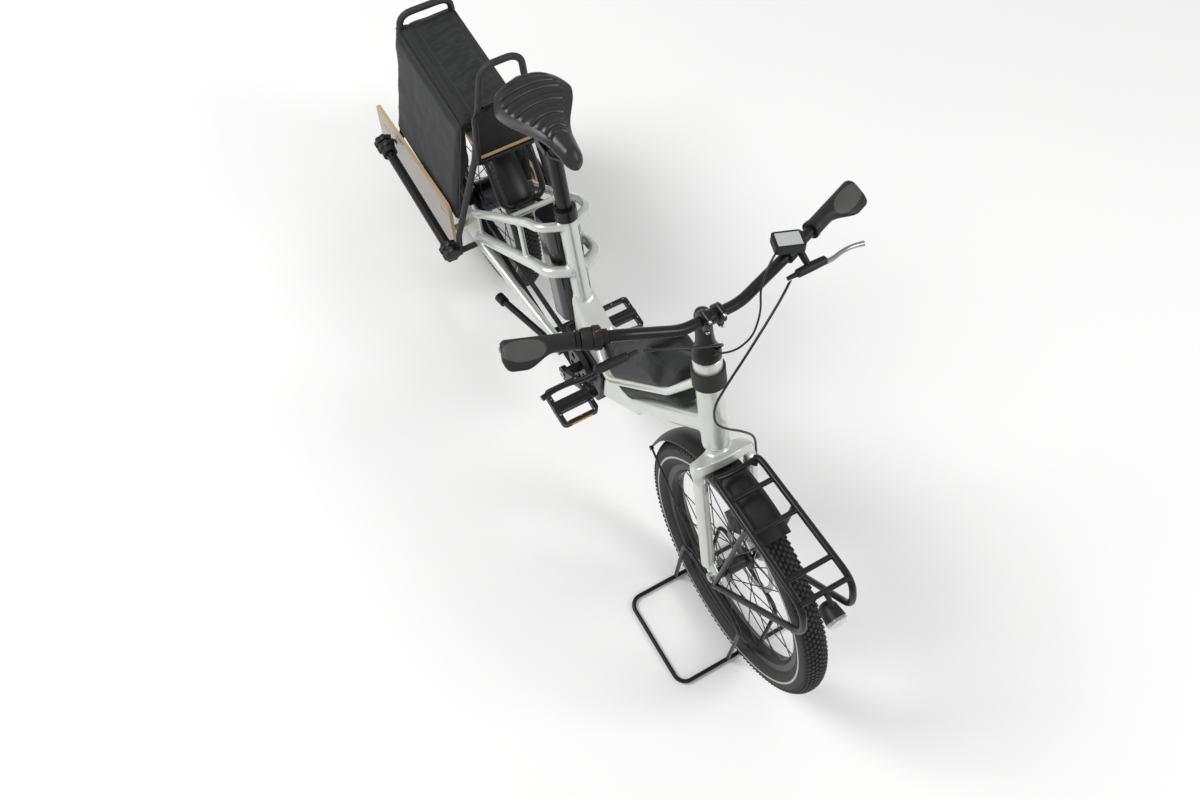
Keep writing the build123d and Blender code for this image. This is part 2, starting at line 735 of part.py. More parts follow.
hoop_foot_y = board_inner + board_thickness + hoop_radius + pin_gap
front_foot_z = 226.0
hoop_knee_z = 306.0
front_hoop = bent_rod(
    [
        (hitch_x + 2, -hoop_foot_y, front_foot_z),
        (hitch_x + 6, -hoop_foot_y, hoop_knee_z),
        (front_hoop_x + 6, -guard_half - 6, rack_rail_z + 10),
        (front_hoop_x, -48, front_hoop_top),
        (front_hoop_x, 48, front_hoop_top),
        (front_hoop_x + 6, guard_half + 6, rack_rail_z + 10),
        (hitch_x + 6, hoop_foot_y, hoop_knee_z),
        (hitch_x + 2, hoop_foot_y, front_foot_z),
    ],
    hoop_radius,
    [70, 90, 38, 38, 90, 70],
)
rear_hoop = bent_rod(
    [
        (rear_hoop_x, -hoop_foot_y, front_foot_z),
        (rear_hoop_x - 2, -hoop_foot_y, hoop_knee_z),
        (rear_hoop_x - 10, -guard_half - 6, rack_rail_z + 4),
        (rear_hoop_x - 12, -guard_half, rear_hoop_top),
        (rear_hoop_x - 12, guard_half, rear_hoop_top),
        (rear_hoop_x - 10, guard_half + 6, rack_rail_z + 4),
        (rear_hoop_x - 2, hoop_foot_y, hoop_knee_z),
        (rear_hoop_x, hoop_foot_y, front_foot_z),
    ],
    hoop_radius,
    [70, 90, 34, 34, 90, 70],
)
hoop_tie_x = rear_hoop_x - 4
hoop_tie_radius = 5.0
rear_hoop_ties = along_y(hoop_tie_x, rack_rail_z, -guard_half - 8, guard_half + 8, hoop_tie_radius)
rear_hoop = rear_hoop + rear_hoop_ties - rack_body
front_hoop = front_hoop - rack_body
foot_lug = along_y(hitch_x + 3, front_foot_z + 10, -hoop_foot_y - 4, -dropout_inner - dropout_thickness, 8)
foot_lug = cut_by(foot_lug, [chainstay])
front_hoop = fused([front_hoop, foot_lug, mirrored(foot_lug)])
parts["rear_rack"] = rack_body - cross_tube
parts["front_hoop"] = front_hoop
parts["rear_hoop"] = rear_hoop

deck = Pos((deck_front_x + deck_rear_x) / 2, 0, deck_height - deck_thickness / 2) * Box(
    deck_length, 2 * deck_half_width, deck_thickness
)
parts["rack_deck"] = deck - rack_body - front_hoop - rear_hoop

# ---------------------------------------------------------------- cargo bag over deck and wheel
cargo_front_x = deck_front_x - 78
cargo_rear_x = rear_hoop_x + hoop_radius + 12
cargo_top = deck_height + 30
cargo_bottom = 275.0
cargo_top_half = 79.0
cargo_bottom_half = board_inner - 7.0
cargo_inner_half = rack_rail_y + rack_tube_radius + 4
cargo_outline = [
    (-cargo_top_half + 8, cargo_top),
    (-cargo_top_half, cargo_top - 8),
    (-cargo_bottom_half, cargo_bottom),
    (-dropout_inner - dropout_thickness - 3, cargo_bottom),
    (-dropout_inner - dropout_thickness - 3, 400),
    (-cargo_inner_half, 470),
    (-cargo_inner_half, deck_height),
    (cargo_inner_half, deck_height),
    (cargo_inner_half, 470),
    (dropout_inner + dropout_thickness + 3, 400),
    (dropout_inner + dropout_thickness + 3, cargo_bottom),
    (cargo_bottom_half, cargo_bottom),
    (cargo_top_half, cargo_top - 8),
    (cargo_top_half - 8, cargo_top),
]
cargo_face = make_face(Plane.YZ * Polyline(*cargo_outline, close=True))
cargo_bag = Pos(cargo_rear_x, 0, 0) * extrude(cargo_face, amount=cargo_front_x - cargo_rear_x)
parts["cargo_bag"] = cargo_bag - rack_body - front_hoop - rear_hoop - parts["rack_deck"]

# ---------------------------------------------------------------- side boards and footrests
board_mid_x = rear_axle_x - 176
board_mid_z = 219.0
board_lug = (board_mid_x + 216, 236.0)
board = Box(board_length, board_thickness, board_height)
board = fillet(board.edges().filter_by(Axis.Y), 20)
slot = Box(34, 40, 7)
board = board - Pos(board_length / 2 - 38, 0, board_height / 2 - 42) * slot
board = board - Pos(-board_length / 2 + 62, 0, board_height / 2 - 42) * slot
board = Pos(board_mid_x, -board_inner - board_thickness / 2, board_mid_z) * Rot(0, -board_slope, 0) * board
board_spacer = along_y(board_lug[0], board_lug[1], -board_inner - 1, -dropout_inner - dropout_thickness, 8)
board = board + board_spacer
parts["side_boards"] = both(board)

foot_front_x = hitch_x + 12
foot_rear_x = rear_hoop_x + 14
footrest = rod(
    (foot_front_x, -footrest_y, footrest_height), (foot_rear_x, -footrest_y, footrest_height), footrest_radius
)
groove = Pos((foot_front_x + foot_rear_x) / 2, -footrest_y, footrest_height + footrest_radius) * Box(
    foot_front_x - foot_rear_x - 80, 6, 8
)
footrest = footrest - groove
parts["footrest_tubes"] = both(footrest)

clamp_length = 34.0
clamp_radius = footrest_radius + 7


def footrest_clamp(x, leg_x):
    """Rubber-faced clamp round the footrest, reaching in to the hoop's leg."""
    start = (x - clamp_length / 2, -footrest_y, footrest_height)
    end = (x + clamp_length / 2, -footrest_y, footrest_height)
    reach = footrest_y - hoop_foot_y
    lug = Pos(leg_x, -hoop_foot_y - reach / 2, footrest_height) * Box(22, reach, 26)
    return rod(start, end, clamp_radius) + lug - footrest - front_hoop - rear_hoop


clamps = [footrest_clamp(foot_front_x - clamp_length / 2 + 4, hitch_x + 3)]
clamps.append(footrest_clamp(foot_rear_x + clamp_length / 2 - 4, rear_hoop_x + 2))
parts["footrest_clamps"] = Compound(children=clamps + [mirrored(clamp) for clamp in clamps])

# ---------------------------------------------------------------- fenders
fender_half_width = 33.0


def make_fender(x, z, inner_radius, start_deg, end_deg, crown=9.0):
    """Curved mudguard: an arched section swept round the wheel between two angles above forward."""
    outer = inner_radius + fender_thickness
    half = fender_half_width
    with BuildSketch(Plane.XY) as section:
        with BuildLine():
            ThreePointArc((-half, inner_radius - crown), (0, inner_radius), (half, inner_radius - crown))
            Line((half, inner_radius - crown), (half, outer - crown))
            ThreePointArc((half, outer - crown), (0, outer), (-half, outer - crown))
            Line((-half, outer - crown), (-half, inner_radius - crown))
        make_face()
    body = revolve(section.sketch, axis=Axis.X, revolution_arc=end_deg - start_deg)
    return Pos(x, 0, z) * Rot(0, 180 - end_deg, 0) * Rot(0, 0, 90) * body


front_fender_radius = front_tyre_radius + 15
rear_fender_radius = rear_tyre_radius + rear_fender_gap
front_fender_from = 77.0
front_fender_to = 174.0
rear_fender_from = 42.0
rear_fender_to = 165.0
stay_wire_radius = 2.5


def on_circle(x, z, radius, angle):
    """Place on a circle about an axle, the angle measured above forward."""
    return (x + radius * cos(radians(angle)), z + radius * sin(radians(angle)))


front_fender = make_fender(front_axle_x, front_z, front_fender_radius, front_fender_from, front_fender_to)
rear_fender = make_fender(rear_axle_x, rear_z, rear_fender_radius, rear_fender_from, rear_fender_to)

# ---------------------------------------------------------------- fork
fork_dropout_thickness = 8.0
blade_top = (on_head(632).X + 30, 632.0)
blade_knee = (front_axle_x - 51, 416.0)
blade_foot = (front_axle_x - 24, 336.0)
crown_thickness = 26.0
crown_length = 60.0
race_radius = 26.0
steerer_top = 884.0

crown_plane = Plane(origin=on_head(626, 17), z_dir=head_direction, x_dir=(0, 1, 0))
crown = extrude(crown_plane * RectangleRounded(2 * fork_blade_y + 20, crown_length, 16), crown_thickness / 2, both=True)
race = rod(on_head(616), on_head(head_tube_bottom - bearing_gap), race_radius)
steerer = rod(on_head(616), on_head(steerer_top), steerer_radius)
blade = bent_rod(
    [
        (blade_top[0], -fork_blade_y, blade_top[1]),
        (blade_knee[0], -fork_blade_y, blade_knee[1]),
        (blade_foot[0], -fork_blade_y, blade_foot[1]),
    ],
    fork_blade_radius,
    [200],
)
eyelet_ahead = (front_axle_x + 22, front_z + 14)
eyelet_behind = (front_axle_x - 44, front_z + 6)
fork_dropout = plate(
    [
        (blade_foot[0] + 12, 352),
        (eyelet_ahead[0] + 9, eyelet_ahead[1] + 4),
        (front_axle_x + 16, front_z - 12),
        (front_axle_x - 12, front_z - 17),
        (eyelet_behind[0] - 9, eyelet_behind[1] - 5),
        (eyelet_behind[0] - 6, eyelet_behind[1] + 9),
        (blade_foot[0] - 12, 352),
    ],
    -fork_inner - fork_dropout_thickness,
    -fork_inner,
)
bolt_angle = 180 - degrees(atan2(310, front_axle_x - on_head(620).X - 8))
bolt_from = on_circle(front_axle_x, front_z, front_fender_radius + 18, bolt_angle)
bolt_to = on_circle(front_axle_x, front_z, front_fender_radius + 2, bolt_angle)
fender_bolt = rod((bolt_from[0], 0, bolt_from[1]), (bolt_to[0], 0, bolt_to[1]), 6)
fork_side = blade + fork_dropout
fork_body = fused([crown, race, steerer, fork_side, mirrored(fork_side), fender_bolt])

axle_nut = 9.0
front_nut_y = fork_inner + fork_dropout_thickness
front_axle = fused(
    [
        along_y(front_axle_x, front_z, -front_nut_y - axle_nut - 2, front_nut_y + axle_nut + 2, front_axle_radius),
        along_y(front_axle_x, front_z, -front_nut_y - axle_nut, -front_nut_y, 12),
        along_y(front_axle_x, front_z, front_nut_y, front_nut_y + axle_nut, 12),
    ]
)
fork_body = fork_body - front_axle - front_fender
parts["front_axle"] = front_axle

rear_nut_y = dropout_inner + dropout_thickness
rear_axle = fused(
    [
        along_y(rear_axle_x, rear_z, -rear_nut_y - axle_nut - 2, rear_nut_y + axle_nut + 2, rear_axle_radius),
        along_y(rear_axle_x, rear_z, -rear_nut_y - axle_nut, -rear_nut_y, 12),
        along_y(rear_axle_x, rear_z, rear_nut_y, rear_nut_y + axle_nut, 12),
    ]
)
parts["rear_axle"] = rear_axle


# ---------------------------------------------------------------- fender stays
def fender_stay(x, z, radius, angle, foot, foot_y, inner_y):
    """Wire stay from the fender's edge to an eye on the dropout's outer face."""
    top = on_circle(x, z, radius - 8, angle)
    wire = rod((top[0], -fender_half_width - 0.5, top[1]), (foot[0], -foot_y - 4, foot[1]), stay_wire_radius)
    eye = along_y(foot[0], foot[1], -foot_y - 8, -inner_y, 6)
    tab = along_y(top[0], top[1], -fender_half_width - 4, -fender_half_width + 3, 5)
    return fused([wire, eye, tab])


front_stay = fender_stay(
    front_axle_x, front_z, front_fender_radius, front_fender_to - 4, eyelet_behind, front_nut_y, front_nut_y
)
rear_stay_foot = (rear_axle_x - 8, rear_z + 24)
rear_stay = fender_stay(
    rear_axle_x, rear_z, rear_fender_radius, rear_fender_to - 6, rear_stay_foot, rear_nut_y, rear_nut_y
)
parts["front_fender"] = fused([front_fender, front_stay, mirrored(front_stay)]) - fork_body
tab_angle = degrees(atan2(loop_low_z - rear_z, loop_low_x - rear_axle_x))
tab_end = on_circle(rear_axle_x, rear_z, rear_fender_radius + 2, tab_angle)
rear_fender_tab = rod((loop_low_x, 0, loop_low_z), (tab_end[0], 0, tab_end[1]), 5)
parts["rear_fender"] = fused([rear_fender, rear_stay, mirrored(rear_stay)])
parts["cargo_bag"] = parts["cargo_bag"] - parts["rear_fender"]
parts["rear_rack"] = parts["rear_rack"] + rear_fender_tab - rear_fender


# ---------------------------------------------------------------- brake calipers
def make_caliper(x, z, angle, disc_y, inner_y, outer_y, length=50.0):
    """Disc brake caliper: two jaws beside the disc and a bridge beyond its edge."""
    reach_in = 62.0
    reach_out = disc_radius + 20.0
    slot_out = disc_radius + 7.0
    mid = (reach_in + reach_out) / 2
    centre = on_circle(x, z, mid, angle)
    body = Box(reach_out - reach_in, outer_y - inner_y, length)
    body = Pos(0, (inner_y + outer_y) / 2, 0) * body
    slot_from = disc_y - moving_gap
    slot_to = disc_y + disc_thickness + moving_gap
    cut = Box(slot_out - reach_in + 2, slot_to - slot_from, length + 2)
    cut = Pos((slot_out + reach_in - 2) / 2 - mid, (slot_from + slot_to) / 2, 0) * cut
    return Pos(centre[0], 0, centre[1]) * Rot(0, -angle, 0) * (body - cut)


front_caliper = make_caliper(front_axle_x, front_z, 142, front_disc_y, front_disc_y - 8.5, front_disc_y + 15)
parts["front_caliper"] = front_caliper - fork_body
rear_caliper = make_caliper(rear_axle_x, rear_z, 40, rear_disc_y, rear_disc_y - 10, dropout_inner + 2)
left_rear = [mirrored(piece) for piece in (dropout, upper_stay, lower_stay, chainstay)]
parts["rear_caliper"] = cut_by(rear_caliper, left_rear)

# ---------------------------------------------------------------- handlebar and stem
bar_radius = 11.0
bar_half = 370.0
bar_mid = (front_axle_x - 253, 984.0)
bar_bend = (front_axle_x - 281, 180.0, 1022.0)
bar_end = (front_axle_x - 351, bar_half, 1022.0)
bar_points = [
    (bar_end[0], -bar_end[1], bar_end[2]),
    (bar_bend[0], -bar_bend[1], bar_bend[2]),
    (bar_mid[0], -62, bar_mid[1]),
    (bar_mid[0], 62, bar_mid[1]),
    bar_bend,
    bar_end,
]
handlebar = bent_rod(bar_points, bar_radius, [150, 110, 110, 150])
parts["handlebar"] = handlebar

cover = rod(on_head(head_tube_top + bearing_gap), on_head(head_tube_top + 12), 29)
cover = cover + rod(on_head(head_tube_top + 11), on_head(892), 22)
post = rod(on_head(head_tube_top + 12), on_head(950), 16.5)
knuckle = along_y(on_head(950).X, 950, -19, 19, 20)
arm = rod((on_head(950).X, 0, 950), (bar_mid[0], 0, bar_mid[1]), 15)
clamp = along_y(bar_mid[0], bar_mid[1], -25, 25, 22)
parts["stem"] = fused([cover, post, knuckle, arm, clamp]) - handlebar - steerer
parts["fork"] = fork_body


def on_bar(y, ahead=0.0, up=0.0):
    """Place on the handlebar's outer run."""
    share = (abs(y) - bar_bend[1]) / (bar_end[1] - bar_bend[1])
    x = bar_bend[0] + share * (bar_end[0] - bar_bend[0])
    return Vector(x + ahead, y, bar_bend[2] + up)


def on_bar_tube(y_from, y_to, radius):
    """Round sleeve about the handlebar's outer run."""
    return rod(on_bar(y_from), on_bar(y_to), radius) - handlebar


grip_inner = 242.0
grip = rod(on_bar(-grip_inner), on_bar(-bar_half - 1), 16)
paddle_middle = (on_bar(-bar_half) + on_bar(-bar_half + 92)) * 0.5
paddle_turn = degrees(atan2(bar_end[1] - bar_bend[1], bar_bend[0] - bar_end[0]))
paddle = Box(90, 44, 13)
paddle = fillet(paddle.edges().filter_by(Axis.Z), 12)
paddle = Pos(paddle_middle.X - 12, paddle_middle.Y + 6, paddle_middle.Z - 2) * Rot(0, 0, 180 + paddle_turn) * paddle
parts["grips"] = both(grip + paddle - handlebar)
parts["gear_shifter"] = on_bar_tube(-grip_inner + 2, -208, 19)

lever_clamp_y = 196.0
master_from = Vector(front_axle_x - 247, -150, 1000)
master_to = Vector(front_axle_x - 259, -224, 1002)
master = rod(master_from, master_to, 9)
master_arm = rod(on_bar(-lever_clamp_y), (master_from * 0.4 + master_to * 0.6), 6)
lever_clamp = rod(on_bar(-lever_clamp_y + 7), on_bar(-lever_clamp_y - 7), 16)
blade_points = [
    (master_to.X + 2, -216, 1001),
    (front_axle_x - 236, -262, 1000),
    (front_axle_x - 258, -312, 999),
    (front_axle_x - 284, -356, 998),
]
lever_blade = bent_rod(blade_points, 4.5, [30, 60])
brake_lever = fused([master, master_arm, lever_clamp, lever_blade]) - handlebar
parts["brake_levers"] = both(brake_lever)

display_box = Box(44, 58, 16)
display_box = fillet(display_box.edges().filter_by(Axis.Z), 8)
display_tilt = 12.0
display_turn = paddle_turn - 90
display_place = on_bar(176, -8, 29)
display_box = Pos(*display_place) * Rot(0, 0, display_turn) * Rot(0, -display_tilt, 0) * display_box
display_clamp = rod(on_bar(171), on_bar(185), 15.5)
display_neck = rod(on_bar(179), on_bar(179, -6, 25), 7)
parts["display"] = fused([display_box, display_clamp, display_neck]) - handlebar

# ---------------------------------------------------------------- front rack and headlight
front_rack_radius = 6.0
front_rail_y = 55.0
rail_front_x = front_axle_x + 223
rail_rear_x = front_axle_x - 100
rack_path = [
    (rail_rear_x, -50, 654),
    (rail_front_x, -front_rail_y, 678),
    (front_axle_x + 247, -front_rail_y, 604),
    (eyelet_ahead[0] + 2, -front_nut_y - 6, eyelet_ahead[1] + 2),
]
front_rail = bent_rod(rack_path, front_rack_radius, [24, 30])
second_strut = rod(
    (eyelet_ahead[0], -front_nut_y - 6, eyelet_ahead[1]), (front_axle_x + 36, -front_rail_y, 666), front_rack_radius - 1
)
rack_eye = along_y(eyelet_ahead[0], eyelet_ahead[1], -front_nut_y - 12, -front_nut_y, 8)
rack_foot = rod((rail_rear_x, -50, 654), (on_head(628).X + 36, -44, 630), front_rack_radius)
rack_side = fused([front_rail, second_strut, rack_eye, rack_foot])


def front_rail_height(x):
    """Height of the front rack's rails at a place along the bicycle."""
    return 654 + (x - rail_rear_x) / (rail_front_x - rail_rear_x) * 24


cross_bars = [
    along_y(x, front_rail_height(x), -front_rail_y, front_rail_y, front_rack_radius - 1)
    for x in (front_axle_x - 29, front_axle_x + 162, front_axle_x + 214)
]
inner_bars = [
    rod((front_axle_x - 29, y, front_rail_height(front_axle_x - 29)), (front_axle_x + 214, y, front_rail_height(front_axle_x + 214)), 4)
    for y in (-19, 19)
]
front_rack = fused([rack_side, mirrored(rack_side)] + cross_bars + inner_bars)
lamp_x = front_axle_x + 226
lamp_z = 636.0
lamp = rod((lamp_x, 0, lamp_z), (lamp_x + 50, 0, lamp_z), 30)
lamp = fillet(lamp.edges().group_by(Axis.X)[0], 12)
lamp_arm = rod((front_axle_x + 214, 0, front_rail_height(front_axle_x + 214)), (lamp_x + 18, 0, lamp_z + 20), 6)
parts["front_rack"] = front_rack - parts["fork"]
parts["headlight"] = lamp + lamp_arm - front_rack

# ---------------------------------------------------------------- wheel stand
stand_rear_x = front_axle_x - stand_half_length
stand_front_x = front_axle_x + stand_half_length
stand_loop = bent_rod(
    [
        (stand_front_x, 0, stand_wire_radius),
        (stand_front_x, -stand_half_width, stand_wire_radius),
        (stand_rear_x, -stand_half_width, stand_wire_radius),
        (stand_rear_x, 0, stand_wire_radius),
    ],
    stand_wire_radius,
    [28, 28],
)
stand_hoop = bent_rod(
    [
        (stand_front_x, -stand_hoop_y, stand_wire_radius),
        (stand_front_x, -stand_hoop_y, stand_hoop_height),
        (stand_rear_x, -stand_hoop_y, stand_hoop_height),
        (stand_rear_x, -stand_hoop_y, stand_wire_radius),
    ],
    stand_wire_radius,
    [34, 34],
)
stand_side = stand_loop + stand_hoop
parts["wheel_stand"] = stand_side + mirrored(stand_side)

# ---------------------------------------------------------------- centre stand
centre_sleeve = ring_about_y(stand_pivot_x, stand_pivot_z, 13, stand_pin_radius + pin_gap, -50, -33)
stand_tip_x = stand_pivot_x - stand_leg_length
leg_start = (stand_pivot_x - 10, -44, stand_pivot_z - 3)
leg_end = (stand_tip_x, -90, 147)
leg = rod(leg_start, leg_end, 9)
leg_share = 0.22
tie_x = leg_start[0] + leg_share * (leg_end[0] - leg_start[0])
tie_y = leg_start[1] + leg_share * (leg_end[1] - leg_start[1])
tie_z = leg_start[2] + leg_share * (leg_end[2] - leg_start[2])
stand_tie = along_y(tie_x, tie_z, tie_y, -tie_y, 8)
leg_pad = rod((leg_end[0] + 22, leg_end[1] + 3, leg_end[2] + 5), (leg_end[0] - 4, leg_end[1], leg_end[2] - 1), 13)
stand_half = fused([centre_sleeve, leg, leg_pad])
parts["centre_stand"] = fused([stand_half, mirrored(stand_half), stand_tie])

# ---------------------------------------------------------------- rear light
light_depth = 25.7
light = Box(light_depth, 64, 26)
light = fillet(light.edges().filter_by(Axis.X), 8)
light = Pos(hoop_tie_x - hoop_tie_radius - pin_gap - light_depth / 2, 0, rack_rail_z + 2) * light
parts["rear_light"] = light - rear_hoop

# ---------------------------------------------------------------- hoses and cable held at both ends
hose_radius = 2.5
cable_radius = 2.0


def cord(points, radius):
    """Hose along short straight runs and tangent arcs, each bend as wide as its runs allow."""
    places = [Vector(*p) for p in points]
    bends = []
    for before, corner, after in zip(places, places[1:], places[2:]):
        arriving = corner - before
        leaving = after - corner
        half_turn = radians(arriving.get_angle(leaving)) / 2
        bends.append(0.45 * min(arriving.length, leaving.length) / tan(half_turn))
    print("bend radii", [round(bend) for bend in bends])
    path = FilletPolyline(*[tuple(p) for p in places], radius=bends)
    body = sweep(Plane(origin=path @ 0, z_dir=path % 0) * Circle(radius), path=path)
    print("volume", round(body.volume), "against", round(path.length * 3.14159 * radius**2), "length", round(path.length))
    return body


front_hose = cord(
    [
        (396, 172, 1001),
        (426, 128, 1001),
        (450, 80, 975),
        (468, 35, 930),
        (482, -6, 885),
        (492, -36, 835),
        (501, -32, 780),
        (506, -2, 735),
        (510, 38, 695),
        (516, 73, 650),
        (524, 81, 598),
        (541, 81, 543),
        (560, 80, 486),
        (577, 76, 432),
        (582, 56, 388),
    ],
    hose_radius,
)
rear_hose = cord(
    [
        (398, -160, 1001),
        (412, -120, 996),
        (424, -75, 980),
        (432, -30, 962),
        (430, 12, 935),
        (416, 14, 897),
        (411, 12, 877),
    ],
    hose_radius,
)
display_cable = cord(
    [
        (350, 172, 1045),
        (374, 128, 1046),
        (398, 96, 1015),
        (420, 92, 968),
        (440, 68, 930),
        (441, 34, 908),
        (424, 2, 896),
        (409, -10, 866),
    ],
    cable_radius,
)
parts["front_brake_hose"] = cut_by(front_hose, [parts["brake_levers"], parts["front_caliper"], mirrored(blade)])
parts["rear_brake_hose"] = rear_hose - parts["brake_levers"] - parts["stem"] - steerer
parts["display_cable"] = display_cable - parts["display"] - parts["stem"] - steerer

# ---------------------------------------------------------------- write the files
if __name__ == "__main__":
    os.makedirs("parts", exist_ok=True)
    for name, shape in parts.items():
        export_step(shape, os.path.join("parts", name + ".step"))
    print(len(parts), "nodes")
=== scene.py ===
import json
import math

import bmesh
import bpy
from mathutils import Matrix, Vector, noise


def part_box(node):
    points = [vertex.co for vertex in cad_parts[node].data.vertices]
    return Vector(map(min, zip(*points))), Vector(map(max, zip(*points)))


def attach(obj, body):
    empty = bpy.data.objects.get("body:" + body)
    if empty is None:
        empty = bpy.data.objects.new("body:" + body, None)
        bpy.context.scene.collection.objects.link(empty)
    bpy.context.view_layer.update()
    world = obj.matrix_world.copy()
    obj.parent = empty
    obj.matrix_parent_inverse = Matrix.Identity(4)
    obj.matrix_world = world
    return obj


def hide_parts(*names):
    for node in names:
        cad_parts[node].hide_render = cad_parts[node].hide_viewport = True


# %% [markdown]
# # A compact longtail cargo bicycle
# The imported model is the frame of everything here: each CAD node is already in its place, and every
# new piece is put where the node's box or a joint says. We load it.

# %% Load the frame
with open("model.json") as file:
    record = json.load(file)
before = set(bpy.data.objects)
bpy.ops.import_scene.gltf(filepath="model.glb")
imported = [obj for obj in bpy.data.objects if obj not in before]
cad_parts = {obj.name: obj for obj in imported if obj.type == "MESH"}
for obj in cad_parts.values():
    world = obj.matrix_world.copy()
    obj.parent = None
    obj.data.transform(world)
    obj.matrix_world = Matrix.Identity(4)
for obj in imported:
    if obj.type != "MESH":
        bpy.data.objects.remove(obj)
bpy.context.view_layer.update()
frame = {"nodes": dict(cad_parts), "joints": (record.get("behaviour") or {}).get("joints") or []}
nodes = frame["nodes"]
joints = {joint["name"]: joint for joint in frame["joints"]}
mm = 0.001
x_axis, y_axis = Vector((1, 0, 0)), Vector((0, 1, 0))


def place(name):
    """Place of a joint in the frame, in metres."""
    return Vector(joints[name]["pos_m"])


front_axle = place("front_wheel_spin")
rear_axle = place("rear_wheel_spin")
crank_axle = place("crank_spin")
steering_point = place("steering")
steering_axis = Vector(joints["steering"]["axis"]).normalized()

# %% [markdown]
# ## Helpers for modelling
# Operators work on whatever is selected, so each step starts with nothing selected. A finished
# piece has its object at the origin with its place in the mesh, as the CAD nodes have, so `settle`
# applies every transform.


# %% Select, settle and join
def deselect():
    """Leave edit mode and select nothing."""
    if bpy.context.object and bpy.context.object.mode != "OBJECT":
        bpy.ops.object.mode_set(mode="OBJECT")
    bpy.ops.object.select_all(action="DESELECT")


def pick(*objects):
    """Select these objects, the first of them active."""
    deselect()
    for thing in objects:
        thing.select_set(True)
    bpy.context.view_layer.objects.active = objects[0]


def edit_all(piece):
    """Open a piece in edit mode with everything selected."""
    pick(piece)
    bpy.ops.object.mode_set(mode="EDIT")
    bpy.ops.mesh.select_all(action="SELECT")


def face_outwards(piece):
    """Turn every face of a closed piece outwards."""
    edit_all(piece)
    bpy.ops.mesh.normals_make_consistent(inside=False)
    bpy.ops.object.mode_set(mode="OBJECT")


def merge_points(piece, distance=0.02 * mm):
    """Merge points that share a place."""
    edit_all(piece)
    bpy.ops.mesh.remove_doubles(threshold=distance)
    bpy.ops.object.mode_set(mode="OBJECT")


def inset_top(piece, steps):
    """Inset the face that looks up, once for each step of (thickness, depth)."""
    pick(piece)
    bpy.ops.object.mode_set(mode="EDIT")
    mesh = bmesh.from_edit_mesh(piece.data)
    for face in mesh.faces:
        face.select_set(face.normal.z > 0.9)
    bmesh.update_edit_mesh(piece.data)
    for thickness, depth in steps:
        bpy.ops.mesh.inset(thickness=thickness, depth=depth)
    bpy.ops.object.mode_set(mode="OBJECT")


def settle(piece):
    """Put the object's origin at the frame's origin, with its place in its mesh."""
    pick(piece)
    bpy.ops.object.transform_apply(location=True, rotation=True, scale=True)
    return piece


def apply_modifiers(piece):
    """Apply every modifier in order."""
    pick(piece)
    for modifier in list(piece.modifiers):
        bpy.ops.object.modifier_apply(modifier=modifier.name)
    return piece


def bevel(piece, width, segments=2, angle=35):
    """Round the edges that are sharper than an angle."""
    modifier = piece.modifiers.new("Rounded edges", "BEVEL")
    modifier.width = width
    modifier.segments = segments
    modifier.limit_method = "ANGLE"
    modifier.angle_limit = math.radians(angle)
    return apply_modifiers(piece)


def smooth(piece, angle=40):
    """Smooth shading with creases kept at sharp edges."""
    pick(piece)
    bpy.ops.object.shade_smooth_by_angle(angle=math.radians(angle))
    return piece


def joined(pieces, name):
    """One object from several."""
    pick(*pieces)
    bpy.ops.object.join()
    piece = bpy.context.object
    piece.name = name
    return piece


def copy_of(piece, matrix):
    """A copy with its own mesh, moved by a matrix."""
    twin = piece.copy()
    twin.data = piece.data.copy()
    bpy.context.collection.objects.link(twin)
    twin.data.transform(matrix)
    return twin


def new_cube(name, size=1, cuts=0):
    """A cube about the origin, with its faces cut into a grid where cuts are given."""
    deselect()
    bpy.ops.mesh.primitive_cube_add(size=size, location=(0, 0, 0))
    cube = bpy.context.object
    cube.name = name
    if cuts:
        bpy.ops.object.mode_set(mode="EDIT")
        bpy.ops.mesh.subdivide(number_cuts=cuts)
        bpy.ops.object.mode_set(mode="OBJECT")
    return cube


def new_cylinder(name, radius, height, sides):
    """A cylinder that stands on the origin and points up Z."""
    deselect()
    bpy.ops.mesh.primitive_cylinder_add(
        vertices=sides, radius=radius, depth=height, location=(0, 0, height / 2)
    )
    cylinder = bpy.context.object
    cylinder.name = name
    return settle(cylinder)


def loose_copy(node, name):
    """A copy of a CAD node that belongs to nothing, with the points of its faces merged."""
    deselect()
    piece = copy_of(nodes[node], Matrix())
    piece.parent = None
    for key in list(piece.keys()):
        del piece[key]
    piece.name = name
    piece.matrix_world = Matrix.Identity(4)
    merge_points(piece)
    return piece


def even_net(piece, voxel):
    """Turn a closed piece to an even net with cells of a set size."""
    remesh = piece.modifiers.new("Even net", "REMESH")
    remesh.mode = "VOXEL"
    remesh.voxel_size = voxel
    apply_modifiers(piece)


def relaxed(piece, rounds, group=""):
    """Relax a net a number of times, everywhere or in one vertex group."""
    calm = piece.modifiers.new("Relaxed net", "SMOOTH")
    calm.factor = 0.5
    calm.iterations = rounds
    calm.vertex_group = group
    return apply_modifiers(piece)


def ease(value):
    """Smooth step from 0 to 1."""
    value = min(1.0, max(0.0, value))
    return value * value * (3 - 2 * value)


